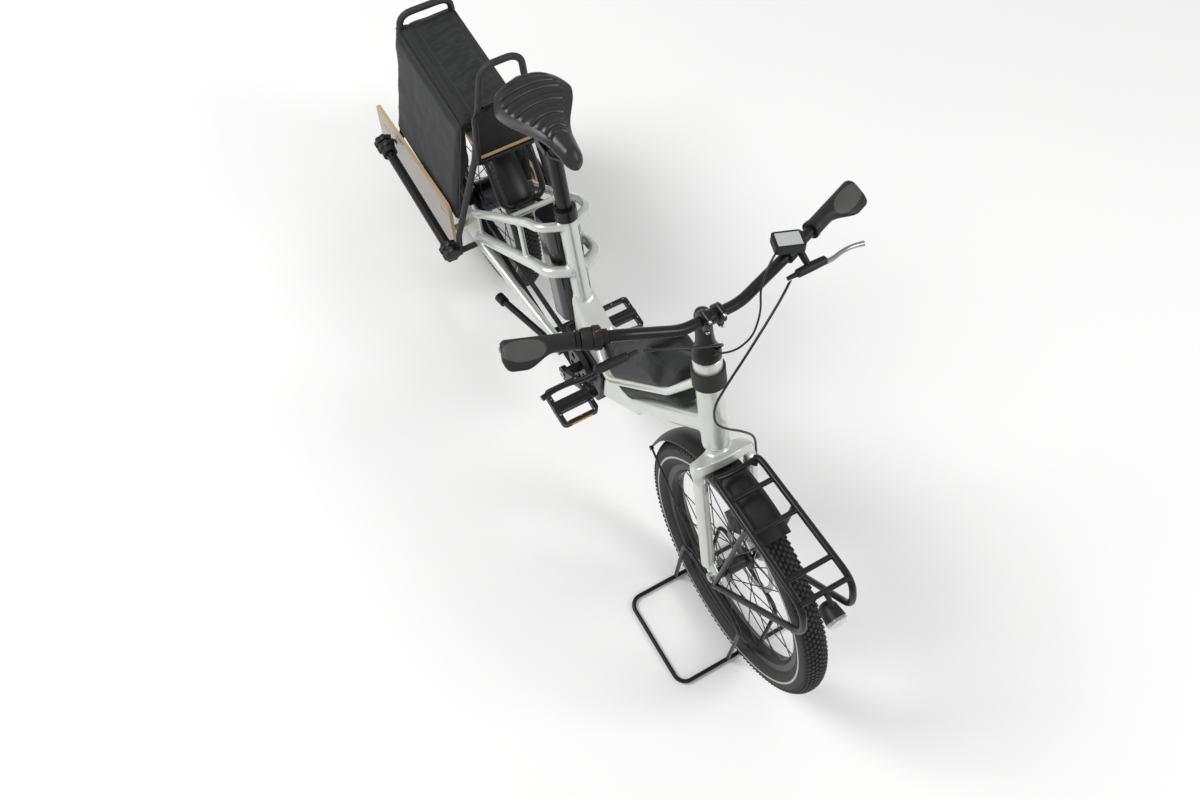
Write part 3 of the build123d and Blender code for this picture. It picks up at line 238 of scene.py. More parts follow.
def swept(name, points, radii, sides=6, smooth_path=False):
    """A closed tube along points with a radius at each: a bevelled curve, turned to a mesh."""
    data = bpy.data.curves.new(name, "CURVE")
    data.dimensions = "3D"
    data.bevel_depth = 1.0
    data.bevel_resolution = sides
    data.use_fill_caps = True
    data.resolution_u = 8
    spline = data.splines.new("NURBS" if smooth_path else "POLY")
    spline.points.add(len(points) - 1)
    for point, place_at, radius in zip(spline.points, points, radii):
        point.co = (*place_at, 1.0)
        point.radius = radius
    if smooth_path:
        spline.order_u = 3
        spline.use_endpoint_u = True
    thing = bpy.data.objects.new(name, data)
    bpy.context.collection.objects.link(thing)
    pick(thing)
    bpy.ops.object.convert(target="MESH")
    thing = bpy.context.object
    merge_points(thing)
    face_outwards(thing)
    return smooth(thing)


def turned_piece(name, middle, axis, steps, sides=8):
    """A round piece about an axis through a place, from (distance, radius) steps in millimetres."""
    places = [middle + axis * distance * mm for distance, _ in steps]
    return swept(name, places, [radius * mm for _, radius in steps], sides)


def ahead_of(x, y, z):
    """Place given in millimetres, with x counted ahead of the front axle."""
    return Vector((front_axle.x + x * mm, y * mm, z * mm))


def rounded_path(points, reach, steps=5):
    """Points of a path whose corners are rounded by a curve that reaches a set way from each corner.

    Where a run is short, the curve takes just under half of it.
    """
    points = [Vector(point) for point in points]
    path = [points[0]]
    for before, corner, after in zip(points, points[1:], points[2:]):
        start, end = (
            corner + (other - corner).normalized() * min(reach, (other - corner).length * 0.48)
            for other in (before, after)
        )
        for step in range(steps + 1):
            share = step / steps
            path.append(start.lerp(corner, share).lerp(corner.lerp(end, share), share))
    return path + [points[-1]]


def bent_tube(name, points, radius, bend, sides=5):
    """A tube of one radius along a path with rounded corners."""
    path = rounded_path(points, bend)
    return swept(name, path, [radius] * len(path), sides)


def mirror_twin(piece):
    """A copy on the other side of the bicycle, with its faces still pointing out."""
    twin = copy_of(piece, Matrix.Diagonal((1, -1, 1, 1)))
    face_outwards(twin)
    return twin


def make_plate(name, size, matrix, inset, raised, round_by=1.0 * mm):
    """A plate whose top face is inset and raised or lowered, placed by a matrix."""
    plate = new_cube(name)
    plate.scale = size
    inset_top(settle(plate), [(inset, raised)])
    if round_by:
        bevel(plate, round_by, 3)
    plate.data.transform(matrix)
    return smooth(plate)


def finish_piece(piece, body, material, covers=()):
    """Give a piece its material and its body, and hide the CAD nodes that it stands for."""
    piece.data.materials.clear()
    piece.data.materials.append(material)
    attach(piece, body)
    if covers:
        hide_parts(*covers)
    print(piece.name, len(piece.data.polygons), "faces on", body)
    return piece


# %% [markdown]
# ## Helpers for materials
# Colours are written as sRGB hex, as a paint maker would give them, and one function makes them linear.
# One more function adds any node with its settings and links.


# %% Colours and nodes
def linear(code):
    """Linear RGBA of an sRGB hex colour."""
    channels = [int(code[i:i + 2], 16) / 255 for i in (1, 3, 5)]
    return tuple(c / 12.92 if c <= 0.04045 else ((c + 0.055) / 1.055) ** 2.4 for c in channels) + (1.0,)


def add(tree, kind, inputs=None, **settings):
    """A node with its settings, and its inputs as values or as links from other nodes' outputs."""
    node = tree.nodes.new(kind)
    for key, value in settings.items():
        setattr(node, key, value)
    for key, value in (inputs or {}).items():
        if isinstance(value, bpy.types.NodeSocket):
            tree.links.new(value, node.inputs[key])
        else:
            node.inputs[key].default_value = value
    return node


def calc(tree, operation, *values):
    """Output of one step of arithmetic on values and links."""
    return add(tree, "ShaderNodeMath", dict(enumerate(values)), operation=operation).outputs[0]


def vector_calc(tree, operation, *values):
    """Output of one step of vector arithmetic: a number for a length or a dot product, else a vector."""
    node = add(tree, "ShaderNodeVectorMath", dict(enumerate(values)), operation=operation)
    return node.outputs["Value" if operation in ("LENGTH", "DOT_PRODUCT") else "Vector"]


def new_material(name, roughness, metallic=0.0, ior=1.5, coat=0.0, coat_roughness=0.1, sheen=0.0):
    """A material with its shader's constant values set on the sockets themselves."""
    material = bpy.data.materials.new(name)
    material.use_nodes = True
    tree = material.node_tree
    shader = tree.nodes["Principled BSDF"]
    values = {
        "Roughness": roughness, "Metallic": metallic, "Coat Weight": coat,
        "Coat Roughness": coat_roughness, "Sheen Weight": sheen,
    }
    if metallic < 0.5:
        values["IOR"] = ior
    for socket, value in values.items():
        shader.inputs[socket].default_value = value
    return material, tree, shader


def per_metre(size):
    """Noise scale for details of a size in millimetres."""
    return 1 / (size * mm)


def per_stripe(size):
    """Wave scale for stripes that repeat after a size in millimetres."""
    return math.pi / 10 / (size * mm)


def blended(tree, factor, first, second):
    """Colour output between two colours, by the factor, A and B of a colour mix."""
    return add(tree, "ShaderNodeMix", {0: factor, 6: first, 7: second}, data_type="RGBA").outputs[2]


def patchy(tree, where, size, detail, low, high):
    """Colour in soft patches of a size in millimetres between two colours, and the patches alone."""
    patches = add(
        tree, "ShaderNodeTexNoise", {"Vector": where, "Scale": per_metre(size), "Detail": detail}
    ).outputs["Fac"]
    return blended(tree, patches, linear(low), linear(high)), patches


def grain(tree, shader, where, size, strength, depth):
    """Raise a fine grain on a surface: its size and its depth are in millimetres."""
    grains = add(tree, "ShaderNodeTexNoise", {"Vector": where, "Scale": per_metre(size), "Detail": 2.0})
    bump = add(
        tree, "ShaderNodeBump",
        {"Height": grains.outputs["Fac"], "Strength": strength, "Distance": depth * mm},
    )
    tree.links.new(bump.outputs["Normal"], shader.inputs["Normal"])


def object_place(tree):
    """Output that gives each point's place on the object."""
    return add(tree, "ShaderNodeTexCoord").outputs["Object"]


def surface(name, low, high, patch, grain_size, depth, **shader_values):
    """A moulded, painted or cast surface: two close colours in soft patches, and a fine grain as bump.

    The sizes of the patches and the grain, and the grain's depth, are in millimetres. The roughness
    varies a little with the patches.
    """
    material, tree, shader = new_material(name, **shader_values)
    where = object_place(tree)
    colour, patches = patchy(tree, where, patch, 3.0, low, high)
    tree.links.new(colour, shader.inputs["Base Color"])
    grain(tree, shader, where, grain_size, 0.6, depth)
    middle, vary = shader_values["roughness"], 0.05
    rough = add(
        tree, "ShaderNodeMapRange",
        {"Value": patches, "To Min": max(0.02, middle - vary), "To Max": middle + vary},
    )
    tree.links.new(rough.outputs["Result"], shader.inputs["Roughness"])
    return material


# %% [markdown]
# ## The finishes
# Each one is named for what the real piece is made of and how its surface was made.

# %% Satin metallic paint, rubber, plastic and metal
# A pale silver powder coat under clear lacquer: soft patches, and a flake too fine to see singly.
silver_paint = surface(
    "Satin silver powder coat", "#C9CDC6", "#D9DCD6", 60, 0.9, 0.02,
    roughness=0.3, metallic=0.55, coat=0.5, coat_roughness=0.12,
)
# Black anodised and powder-coated tube: nearly black, with a broad grey highlight.
black_tube = surface(
    "Satin black powder coat", "#0C0C0D", "#131314", 45, 0.8, 0.02, roughness=0.3, ior=1.4
)
# Injection-moulded nylon: dull, with a spark-eroded grain.
black_nylon = surface(
    "Black moulded nylon", "#0F0F10", "#171718", 30, 1.2, 0.08, roughness=0.45, ior=1.42
)
# Polycarbonate fender: smoother, with a clear soft shine.
fender_plastic = surface(
    "Semi-matt polycarbonate", "#151517", "#1D1D1F", 70, 1.6, 0.02, roughness=0.4, ior=1.42
)
# Soft thermoplastic grip: very dull.
grip_rubber = surface("Soft grip rubber", "#161617", "#1F1F20", 18, 0.9, 0.12, roughness=0.5, ior=1.42)
# Turned and polished steel.
bright_steel = surface(
    "Polished stainless steel", "#B9BABC", "#D0D1D3", 14, 0.7, 0.01, roughness=0.22, metallic=1.0
)
spoke_steel = surface(
    "Drawn steel and cast hub shell", "#3A3A3D", "#55565A", 20, 0.8, 0.02, roughness=0.3, metallic=0.9
)
rim_alloy = surface(
    "Black anodised rim alloy", "#0E0E0F", "#151516", 40, 0.6, 0.01, roughness=0.3, ior=1.4
)
lever_alloy = surface(
    "Polished lever alloy", "#8F9092", "#B4B5B7", 10, 0.6, 0.01, roughness=0.25, metallic=1.0
)
drive_casting = surface(
    "Powder-coated magnesium casting", "#121213", "#1C1C1D", 24, 1.5, 0.08, roughness=0.45, ior=1.42
)
battery_shell = surface(
    "Glossy battery shell", "#0F0F11", "#17171A", 40, 1.0, 0.01, roughness=0.18, coat=0.6
)
belt_rubber = surface("Moulded drive belt", "#19191A", "#242425", 12, 1.0, 0.08, roughness=0.6)
hose_skin = surface("Extruded hose skin", "#121213", "#1C1C1D", 20, 0.8, 0.02, roughness=0.35)
tread_rubber = surface("Worn tread rubber", "#262628", "#343436", 30, 1.2, 0.1, roughness=0.62, ior=1.42)
# Lenses and glass: a hard clear coat over a coloured body.
lens_skin = {"roughness": 0.15, "coat": 0.8, "coat_roughness": 0.05}
amber_lens = surface("Amber reflector", "#C9660F", "#E08A24", 3, 1.5, 0.3, **lens_skin)
red_lens = surface("Red lamp lens", "#7A0A0A", "#A31212", 3, 1.5, 0.3, **lens_skin)
clear_lens = surface(
    "Clear lamp lens", "#B9BDBF", "#E4E7E8", 4, 2.0, 0.4, roughness=0.08, coat=1.0, coat_roughness=0.03
)
screen_glass = surface(
    "Unlit display glass", "#A6ABAB", "#B6BBBA", 40, 4.0, 0.0,
    roughness=0.12, coat=0.6, coat_roughness=0.05,
)
# Foam tape wound on the hoops: dull, with a coarse pebbled skin.
hoop_foam = surface("Closed-cell foam tape", "#141415", "#3B3B3D", 5, 3.0, 0.5, roughness=0.6, ior=1.42)
red_print = surface("Red indicator", "#B3261E", "#C73A30", 5, 1.0, 0.02, roughness=0.4)
print("materials", len(bpy.data.materials))

# %% [markdown]
# ### Tyre rubber with a reflective line
# A tyre is dull, slightly grey rubber. A pale reflective band is moulded into each side, a fixed
# distance from the axle, so the material measures that distance from the object's own coordinates.
# Out past the tread's radius, the carcass between the blocks is painted near black as painted shade.


# %% Tyre rubber
def tyre_material(name, axle, band_radius, band_width, tread_radius):
    """Rubber with a pale ring at a distance from the axle, and painted shade on the carcass between the
    tread's blocks.
    """
    material, tree, shader = new_material(name, roughness=0.7, ior=1.42)
    where = object_place(tree)
    moved = vector_calc(tree, "SUBTRACT", where, (axle.x, 0, axle.z))
    away = vector_calc(tree, "LENGTH", vector_calc(tree, "MULTIPLY", moved, (1, 0, 1)))
    offset = calc(tree, "ABSOLUTE", calc(tree, "SUBTRACT", away, band_radius))
    ring = calc(tree, "LESS_THAN", offset, band_width / 2)
    rubber, _ = patchy(tree, where, 35, 4.0, "#2B2B2C", "#38383A")
    banded = blended(tree, ring, rubber, linear("#B4B4AA"))
    # Beyond the tread's radius the carcass is painted near black: painted shade in the gaps between the
    # blocks.
    painted_gap_shade = calc(tree, "GREATER_THAN", away, tread_radius)
    colour = blended(tree, painted_gap_shade, banded, linear("#0B0B0C"))
    tree.links.new(colour, shader.inputs["Base Color"])
    grain(tree, shader, where, 1.2, 0.7, 0.15)
    return material


wheels = {
    side: {"axle": axle, "body": side + "_wheel", "outer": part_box(side + "_tyre")[1].z - axle.z}
    for side, axle in (("front", front_axle), ("rear", rear_axle))
}
# Each tyre's painted shade between its tread blocks starts 11 mm inside its outer radius.
for side, wheel in wheels.items():
    wheel["rubber"] = tyre_material(
        "Vulcanised tyre rubber, " + side, wheel["axle"], wheel["outer"] - 35 * mm, 4.5 * mm,
        wheel["outer"] - 11 * mm,
    )

# %% [markdown]
# ### Woven fabric
# The bags are sewn from a coated polyester: a plain weave whose threads cross at right angles. Two wave
# textures at right angles give the threads. The true thread is half a millimetre, too fine to show at
# this distance, so it is drawn at 2.4 mm.


# %% Woven bag fabric
def woven(name, low, high, thread, roughness):
    """Plain weave with threads along X and Z, drawn on any face."""
    material, tree, shader = new_material(name, roughness=roughness, ior=1.4, sheen=0.08)
    where = object_place(tree)
    wave = per_stripe(thread)
    across = add(tree, "ShaderNodeTexWave", {"Vector": where, "Scale": wave}, bands_direction="X")
    upward = add(tree, "ShaderNodeTexWave", {"Vector": where, "Scale": wave}, bands_direction="Z")
    weave = calc(tree, "MULTIPLY", across.outputs["Fac"], upward.outputs["Fac"])
    cloth, _ = patchy(tree, where, 55, 5.0, low, high)
    shade = add(tree, "ShaderNodeMapRange", {"Value": weave, "To Min": 0.0, "To Max": 0.35})
    colour = blended(tree, shade.outputs["Result"], cloth, linear("#4A4B4D"))
    tree.links.new(colour, shader.inputs["Base Color"])
    crease = add(tree, "ShaderNodeTexNoise", {"Vector": where, "Scale": per_metre(28), "Detail": 4.0})
    total = calc(tree, "ADD", calc(tree, "MULTIPLY", weave, 0.25), crease.outputs["Fac"])
    bump = add(tree, "ShaderNodeBump", {"Height": total, "Strength": 0.5, "Distance": 1.2 * mm})
    tree.links.new(bump.outputs["Normal"], shader.inputs["Normal"])
    return material


bag_cloth = woven("Coated polyester weave", "#151617", "#212223", 2.4, 0.75)
webbing = woven("Nylon webbing", "#1B1B1C", "#27272A", 1.8, 0.75)

# %% [markdown]
# ### Film-faced plywood
# The boards are birch plywood with a hard phenolic film on both faces. The sawn edge is bare, and
# shows the plies as thin light and dark stripes. The face's own direction tells film from edge.


# %% Film-faced plywood
def plywood(name, flat_axis, film_low, film_high):
    """Plywood whose filmed faces look along one axis, with bare plies on the other faces."""
    material, tree, shader = new_material(name, roughness=0.32, coat=0.4, coat_roughness=0.12)
    coordinates = add(tree, "ShaderNodeTexCoord")
    where = coordinates.outputs["Object"]
    facing = add(tree, "ShaderNodeSeparateXYZ", {"Vector": coordinates.outputs["Normal"]})
    film = calc(tree, "GREATER_THAN", calc(tree, "ABSOLUTE", facing.outputs[flat_axis]), 0.6)
    face, _ = patchy(tree, where, 80, 3.0, film_low, film_high)
    plies = add(
        tree, "ShaderNodeTexWave", {"Vector": where, "Scale": per_stripe(3.0), "Distortion": 0.6},
        bands_direction=flat_axis,
    )
    bare = blended(tree, plies.outputs["Fac"], linear("#A98558"), linear("#D9BC92"))
    colour = blended(tree, film, bare, face)
    tree.links.new(colour, shader.inputs["Base Color"])
    grain(tree, shader, where, 3, 0.3, 0.05)
    return material


board_ply = plywood("Film-faced birch plywood, upright", "Y", "#7C726D", "#968C86")
deck_ply = plywood("Film-faced birch plywood, level", "Z", "#3A3634", "#4A4542")

# %% [markdown]
# ## Dress the CAD nodes
# Every node whose shape is right keeps its mesh and gets its finish here.

# %% Finishes of the kept nodes
dress = {
    silver_paint: ["frame", "fork"],
    black_tube: [
        "seat_post", "seat_collar", "rear_rack", "rear_hoop", "footrest_tubes", "stem", "handlebar",
        "front_rack", "crank_set", "centre_stand", "wheel_stand", "front_caliper", "rear_caliper",
    ],
    black_nylon: [
        "gear_shifter", "footrest_clamps", "headlight", "rear_light", "pedal_left", "pedal_right",
        "brake_levers", "display", "saddle",
    ],
    fender_plastic: ["front_fender", "rear_fender"],
    hoop_foam: ["front_hoop"],
    bright_steel: ["front_axle", "rear_axle", "front_disc", "rear_disc"],
    spoke_steel: ["front_hub", "rear_hub", "rear_pulley"],
    rim_alloy: ["front_rim", "rear_rim"],
    drive_casting: ["drive_unit"],
    battery_shell: ["battery"],
    belt_rubber: ["drive_belt"],
    hose_skin: ["front_brake_hose", "rear_brake_hose", "display_cable"],
    grip_rubber: ["grips"],
    board_ply: ["side_boards"],
    deck_ply: ["rack_deck"],
    webbing: ["head_band"],
    bag_cloth: ["frame_bag", "cargo_bag"],
    wheels["front"]["rubber"]: ["front_tyre"],
    wheels["rear"]["rubber"]: ["rear_tyre"],
}
for material, names in dress.items():
    for name in names:
        mesh = nodes[name].data
        if len(mesh.materials) == 0:
            mesh.materials.append(material)
        for held in nodes[name].material_slots:
            held.material = material
print("dressed", sum(len(names) for names in dress.values()), "nodes")

# %% [markdown]
# ## Welds and the fork's crown
# The CAD frame and fork meet at hard corners. On the real ones every tube ends in a fillet of weld,
# and the fork's crown flows into its blades as one forging. A copy of each is turned to an even net
# and relaxed: a little everywhere, and much more inside a few boxes that hold the crown and the
# castings.


# %% Relaxed copies of the frame and the fork
def welded(node, name, voxel, zones, rounds=5, shape=None):
    """An even net over a CAD node, relaxed a little, and much more inside boxes.

    Each box is given as (low, high, rounds). shape moves single points before the net is relaxed.
    """
    piece = loose_copy(node, name)
    even_net(piece, voxel)
    if shape:
        for vertex in piece.data.vertices:
            vertex.co = shape(vertex.co)
    relaxed(piece, rounds)
    for low, high, more in zones:
        group = piece.vertex_groups.new(name="zone")
        inside = [
            vertex.index for vertex in piece.data.vertices
            if all(low[axis] < vertex.co[axis] < high[axis] for axis in range(3))
        ]
        group.add(inside, 1.0, "REPLACE")
        relaxed(piece, more, group.name)
        piece.vertex_groups.clear()
    return smooth(piece, 70)


crown_half_width = 72 * mm
crown_drop = 11 * mm


def crown_shoulders(point):
    """Draw the crown's ends down and in over the blades' tops, so that each blade grows out of it."""
    outward = min(1.0, abs(point.y) / crown_half_width)
    high = ease((point.z - 0.606) / 0.01) * (1 - ease((point.z - 0.652) / 0.008))
    if high <= 0 or abs(point.x - front_axle.x + 0.136) > 60 * mm:
        return point
    blade_x = front_axle.x - 0.129 - (point.z - 0.632) * 0.36
    closer = (0.2 + 0.38 * outward ** 2) * high
    return Vector((
        point.x + (blade_x - point.x) * closer, point.y, point.z - crown_drop * outward ** 2.5 * high
    ))


crown_zone = ((front_axle.x - 0.22, -0.1, 0.585), (front_axle.x + 0.05, 0.1, 0.645), 45)
fork = welded("fork", "fork_forging", 2.5 * mm, [crown_zone], shape=crown_shoulders)
finish_piece(fork, "steering", silver_paint, ["fork"])
castings_zone = ((crank_axle.x - 0.10, -0.05, 0.33), (crank_axle.x + 0.16, 0.05, 0.47), 30)
frame_tubes = welded("frame", "frame_weldment", 3.2 * mm, [castings_zone], 4)
finish_piece(frame_tubes, "frame", silver_paint, ["frame"])

# %% [markdown]
# ## Tyre tread
# The tread is rows of small rubber blocks. One group of blocks is modelled at the top of the wheel, and
# Blender's Spin tool, with its duplicate option, carries it round the axle.


# %% Tread blocks
def tread_blocks(wheel, name, steps):
    """Blocks standing 2.2 mm proud of the tyre, carried round the axle."""
    axle, outer = wheel["axle"], wheel["outer"]
    pitch = 2 * math.pi * outer / steps
    section = 30.4 * mm
    reach = section + 0.1 * mm
    # Each row: how far it lies across the tyre, its shift as a share of the pitch, a block's width.
    rows = ((0, 0, 6), (7.4, 0.5, 5.4), (14.2, 0, 5.2), (20.4, 0.5, 4.8), (25.4, 0, 4.2))
    blocks = []
    for across, shift, wide in rows:
        for side in (-1, 1) if across else (1,):
            lean = math.asin(across * mm / section)
            block = new_cube("block")
            block.scale = (pitch * 0.56, wide * mm, 4.2 * mm)
            block.rotation_euler = (-side * lean, 0, side * math.radians(16) * (across > 0))
            block.location = (
                axle.x + shift * pitch,
                side * reach * math.sin(lean),
                axle.z + outer - section + reach * math.cos(lean),
            )
            settle(block)
            blocks.append(block)
    tread = joined(blocks, name)
    edit_all(tread)
    bpy.ops.mesh.spin(
        steps=steps, dupli=True, angle=2 * math.pi, center=tuple(axle), axis=(0, 1, 0),
        use_auto_merge=False,
    )
    merge_points(tread, 0.01 * mm)
    return tread


block_pitch = 14.5 * mm
for side, wheel in wheels.items():
    count = round(2 * math.pi * wheel["outer"] / block_pitch)
    tread = tread_blocks(wheel, side + "_tread", count)
    finish_piece(tread, wheel["body"], tread_rubber)

# %% [markdown]
# ## Saddle
# A touring saddle is foam under a stretched cover: a wide crowned tail, a narrow rounded nose and
# sides that fall away. A cube is cut into a fine grid, and each point is then moved by a few smooth
# rules, as a sculptor would press the foam. The sewn channels are shallow grooves that cross the
# tail.


# %% Saddle shell
saddle_low, saddle_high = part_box("saddle")
saddle_size = saddle_high - saddle_low
saddle = new_cube("saddle_cover", 1, 119)


def saddle_half_width(share):
    """Half the saddle's width at a share of its length, from the tail at 0 to the nose at 1."""
    full = 0.56 * saddle_size.y
    tail = full * math.sqrt(max(0.0, 1 - ((0.24 - min(share, 0.24)) / 0.245) ** 2))
    waist = 29 * mm * (1 - 0.28 * ease((share - 0.6) / 0.4))
    middle = waist + (full - waist) * (1 - ease((share - 0.2) / 0.5)) ** 1.15
    nose = math.sqrt(max(0.0, 1 - ((max(share, 0.9) - 0.9) / 0.101) ** 2))
    return max(1.0 * mm, min(tail, middle) if share < 0.24 else middle * nose)


groove_pitch, groove_depth, groove_width = 17 * mm, 4.4 * mm, 2.2 * mm
for vertex in saddle.data.vertices:
    share = vertex.co.x + 0.5
    across = vertex.co.y * 2
    up = vertex.co.z + 0.5
    rounded = math.copysign(math.sin(abs(across) * math.pi / 2), across)
    half = saddle_half_width(share)
    skirt = 1 - 0.22 * (1 - up) ** 2
    rise = 0.88 + 0.10 * ease((0.3 - share) / 0.3) + 0.02 * ease((share - 0.75) / 0.25)
    height = saddle_size.z * rise
    crown = 1 - 0.40 * abs(rounded) ** 2.6
    end_drop = 0.42 * ease((share - 0.86) / 0.14) + 0.35 * ease((0.07 - share) / 0.07)
    groove = 0.0
    if up > 0.5:
        phase = share * saddle_size.x / groove_pitch
        off = abs(phase - math.floor(phase) - 0.5) * groove_pitch
        inside = ease((0.80 - abs(rounded)) / 0.08)
        inside *= ease((share - 0.07) / 0.03) * ease((0.74 - share) / 0.04)
        groove = inside * (groove_depth * math.exp(-((off / groove_width) ** 2)) - 1.2 * mm)
    bow = 15 * mm * rounded ** 2 * ease(share / 0.2) * (1 - ease((share - 0.6) / 0.3))
    vertex.co.x = saddle_low.x + share * saddle_size.x + bow
    vertex.co.y = (saddle_low.y + saddle_high.y) / 2 + rounded * half * skirt
    top = height * crown * (1 - end_drop)
    base = 3 * mm + 6 * mm * ease((share - 0.4) / 0.5)
    vertex.co.z = saddle_low.z + base + (top - base) * up - groove * up
cover = saddle.modifiers.new("Soft cover", "CORRECTIVE_SMOOTH")
cover.factor = 0.5
cover.iterations = 1
apply_modifiers(saddle)
smooth(saddle, 60)
saddle_cover = surface(
    "Grained vinyl saddle cover", "#171719", "#202022", 25, 1.4, 0.06, roughness=0.33, ior=1.5
)
finish_piece(saddle, "frame", saddle_cover, ["saddle"])

# %% [markdown]
# ## The two bags
# A sewn bag is a closed cloth shell round something soft. The CAD solid gives its size; a voxel
# remesh makes it one even net, Cloth with a little pressure lets it swell and pull, and a cap on
# how far any point may move keeps it in its place.


# %% Soft bag from a CAD solid
cloth_frames = 16


def soft_bag(node, name, voxel, pressure, cap, stretch, calm_rounds=3):
    """A cloth shell grown from a CAD node, with a cap on its swelling.

    stretch says how far each point moves before the net is made.
    """
    bag = loose_copy(node, name)
    for vertex in bag.data.vertices:
        vertex.co += stretch(vertex.co)
    even_net(bag, voxel)
    relaxed(bag, calm_rounds)
    rest = [vertex.co.copy() for vertex in bag.data.vertices]
    cloth = bag.modifiers.new("Cloth", "CLOTH")
    cloth.settings.use_pressure = True
    cloth.settings.uniform_pressure_force = pressure
    cloth.settings.effector_weights.gravity = 0
    cloth.settings.tension_stiffness = 12
    cloth.settings.bending_stiffness = 0.4
    cloth.settings.quality = 4
    for step in range(1, cloth_frames + 1):
        bpy.context.scene.frame_set(step)
    apply_modifiers(bag)
    bpy.context.scene.frame_set(1)
    for vertex, start in zip(bag.data.vertices, rest):
        move = vertex.co - start
        if move.length > cap:
            vertex.co = start + move * (cap / move.length)
    return smooth(bag, 55)


bag_low, bag_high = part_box("cargo_bag")


def over_hoop(point):
    """Take the bag's rear end back over the rear hoop's legs."""
    return Vector((-34 * mm if point.x < bag_low.x + 3 * mm else 0, 0, 0))


cargo_bag = soft_bag("cargo_bag", "cargo_bag_cloth", 6 * mm, 1.6, 4 * mm, over_hoop)
# A seam runs along the top near its right edge. Left of it the padded cloth lies in shallow cross
# folds, and the sides hang in longer ones.
seam_y, seam_depth, fold_height, sag_depth = -44, 3.2 * mm, 3.4 * mm, 3.2 * mm
for vertex in cargo_bag.data.vertices:
    x, y, z = vertex.co / mm
    if z > bag_high.z / mm - 9:
        off = y - seam_y
        vertex.co.z -= seam_depth * math.exp(-((off / 5) ** 2))
        folds = noise.noise(Vector((x / 17 + y / 60, y / 110, 0)))
        folds += 0.6 * noise.noise(Vector((x / 9, y / 40, 5)))
        vertex.co.z += fold_height * folds * ease((off - 2) / 30) * ease((78 - y) / 30)
    elif z > bag_low.z / mm + 20:
        sag = noise.noise(Vector((x / 90, 4, z / 60 - x / 200)))
        sag += 0.5 * noise.noise(Vector((x / 30, 9, z / 45)))
        vertex.co.y += sag_depth * sag * ease((bag_high.z / mm - z) / 30) * (1 if y > 0 else -1)
finish_piece(cargo_bag, "frame", bag_cloth, ["cargo_bag"])
for side in (-1, 1):
    piping = bent_tube(
        "cargo_bag_piping_" + ("right" if side < 0 else "left"),
        [
            (bag_low.x - 32 * mm, side * 76 * mm, bag_high.z - 6 * mm),
            (bag_high.x + 1 * mm, side * 76 * mm, bag_high.z - 6 * mm),
            (bag_high.x + 3 * mm, side * 104 * mm, bag_low.z + 40 * mm),
        ],
        2.2 * mm, 18 * mm,
    )
    finish_piece(piping, "frame", webbing)


def fuller_keel(point):
    """Let the frame bag's keel hang lower between the rails, down to the main tube."""
    return Vector((0, 0.12 * point.y, -30 * mm)) if abs(point.y) < 35 * mm else Vector((0, 0, 0))


frame_bag = soft_bag("frame_bag", "frame_bag_cloth", 5 * mm, 5.0, 9 * mm, fuller_keel, 16)
finish_piece(frame_bag, "frame", bag_cloth, ["frame_bag"])

# %% [markdown]
# ## Palm grips
# A palm grip is a soft tube that grows a wing towards the rider, to hold up the heel of the hand. A
# cube with a fine grid is rounded to a bar, and the side that looks back is then drawn out and
# thinned. An oval of palm gel on the wing is a greyer rubber, as the second shot of the moulding
# leaves it.

# %% Grips
bar_bend = Vector((front_axle.x - 281 * mm, 0.180, 1.022))
bar_end = Vector((front_axle.x - 351 * mm, 0.370, 1.022))
grip_radius = 16.5 * mm
grip_length = 129 * mm
rib_depth, rib_pitch = 0.5 * mm, 4 * mm
wing_reach = 27 * mm


def bar_place(side, along):
    """Place on the bar's outer run at a distance from the middle of the bicycle."""
    share = (along - bar_bend.y) / (bar_end.y - bar_bend.y)
    return Vector((bar_bend.x + share * (bar_end.x - bar_bend.x), side * along, bar_bend.z))


def bar_frame(side):
    """Axes of the bar's end on one side: inward along the bar, back towards the rider, and up."""
    inward = Vector((bar_bend.x - bar_end.x, side * (bar_bend.y - bar_end.y), 0)).normalized()
    back = Vector((0, 0, 1)).cross(inward) * side
    return inward, back, Vector((0, 0, 1))


def padded_rubber(centre, inward, back):
    """Grip rubber with a greyer oval of palm gel about a centre."""
    material, tree, shader = new_material("Two-shot grip rubber", roughness=0.5, ior=1.42)
    where = object_place(tree)
    moved = vector_calc(tree, "SUBTRACT", where, centre)
    squares = [
        calc(tree, "POWER", vector_calc(tree, "DOT_PRODUCT", moved, axis / reach), 2.0)
        for axis, reach in ((inward, 40 * mm), (back, 19 * mm))
    ]
    total = calc(tree, "ADD", *squares)
    oval = add(tree, "ShaderNodeMapRange", {"Value": total, "From Min": 1.0, "From Max": 0.9})
    dark, _ = patchy(tree, where, 20, 3.0, "#141415", "#1D1D1E")
    grey, _ = patchy(tree, where, 20, 3.0, "#3F3F3D", "#4C4C49")
    tree.links.new(blended(tree, oval.outputs["Result"], dark, grey), shader.inputs["Base Color"])
    grain(tree, shader, where, 1.4, 0.7, 0.2)
    return material


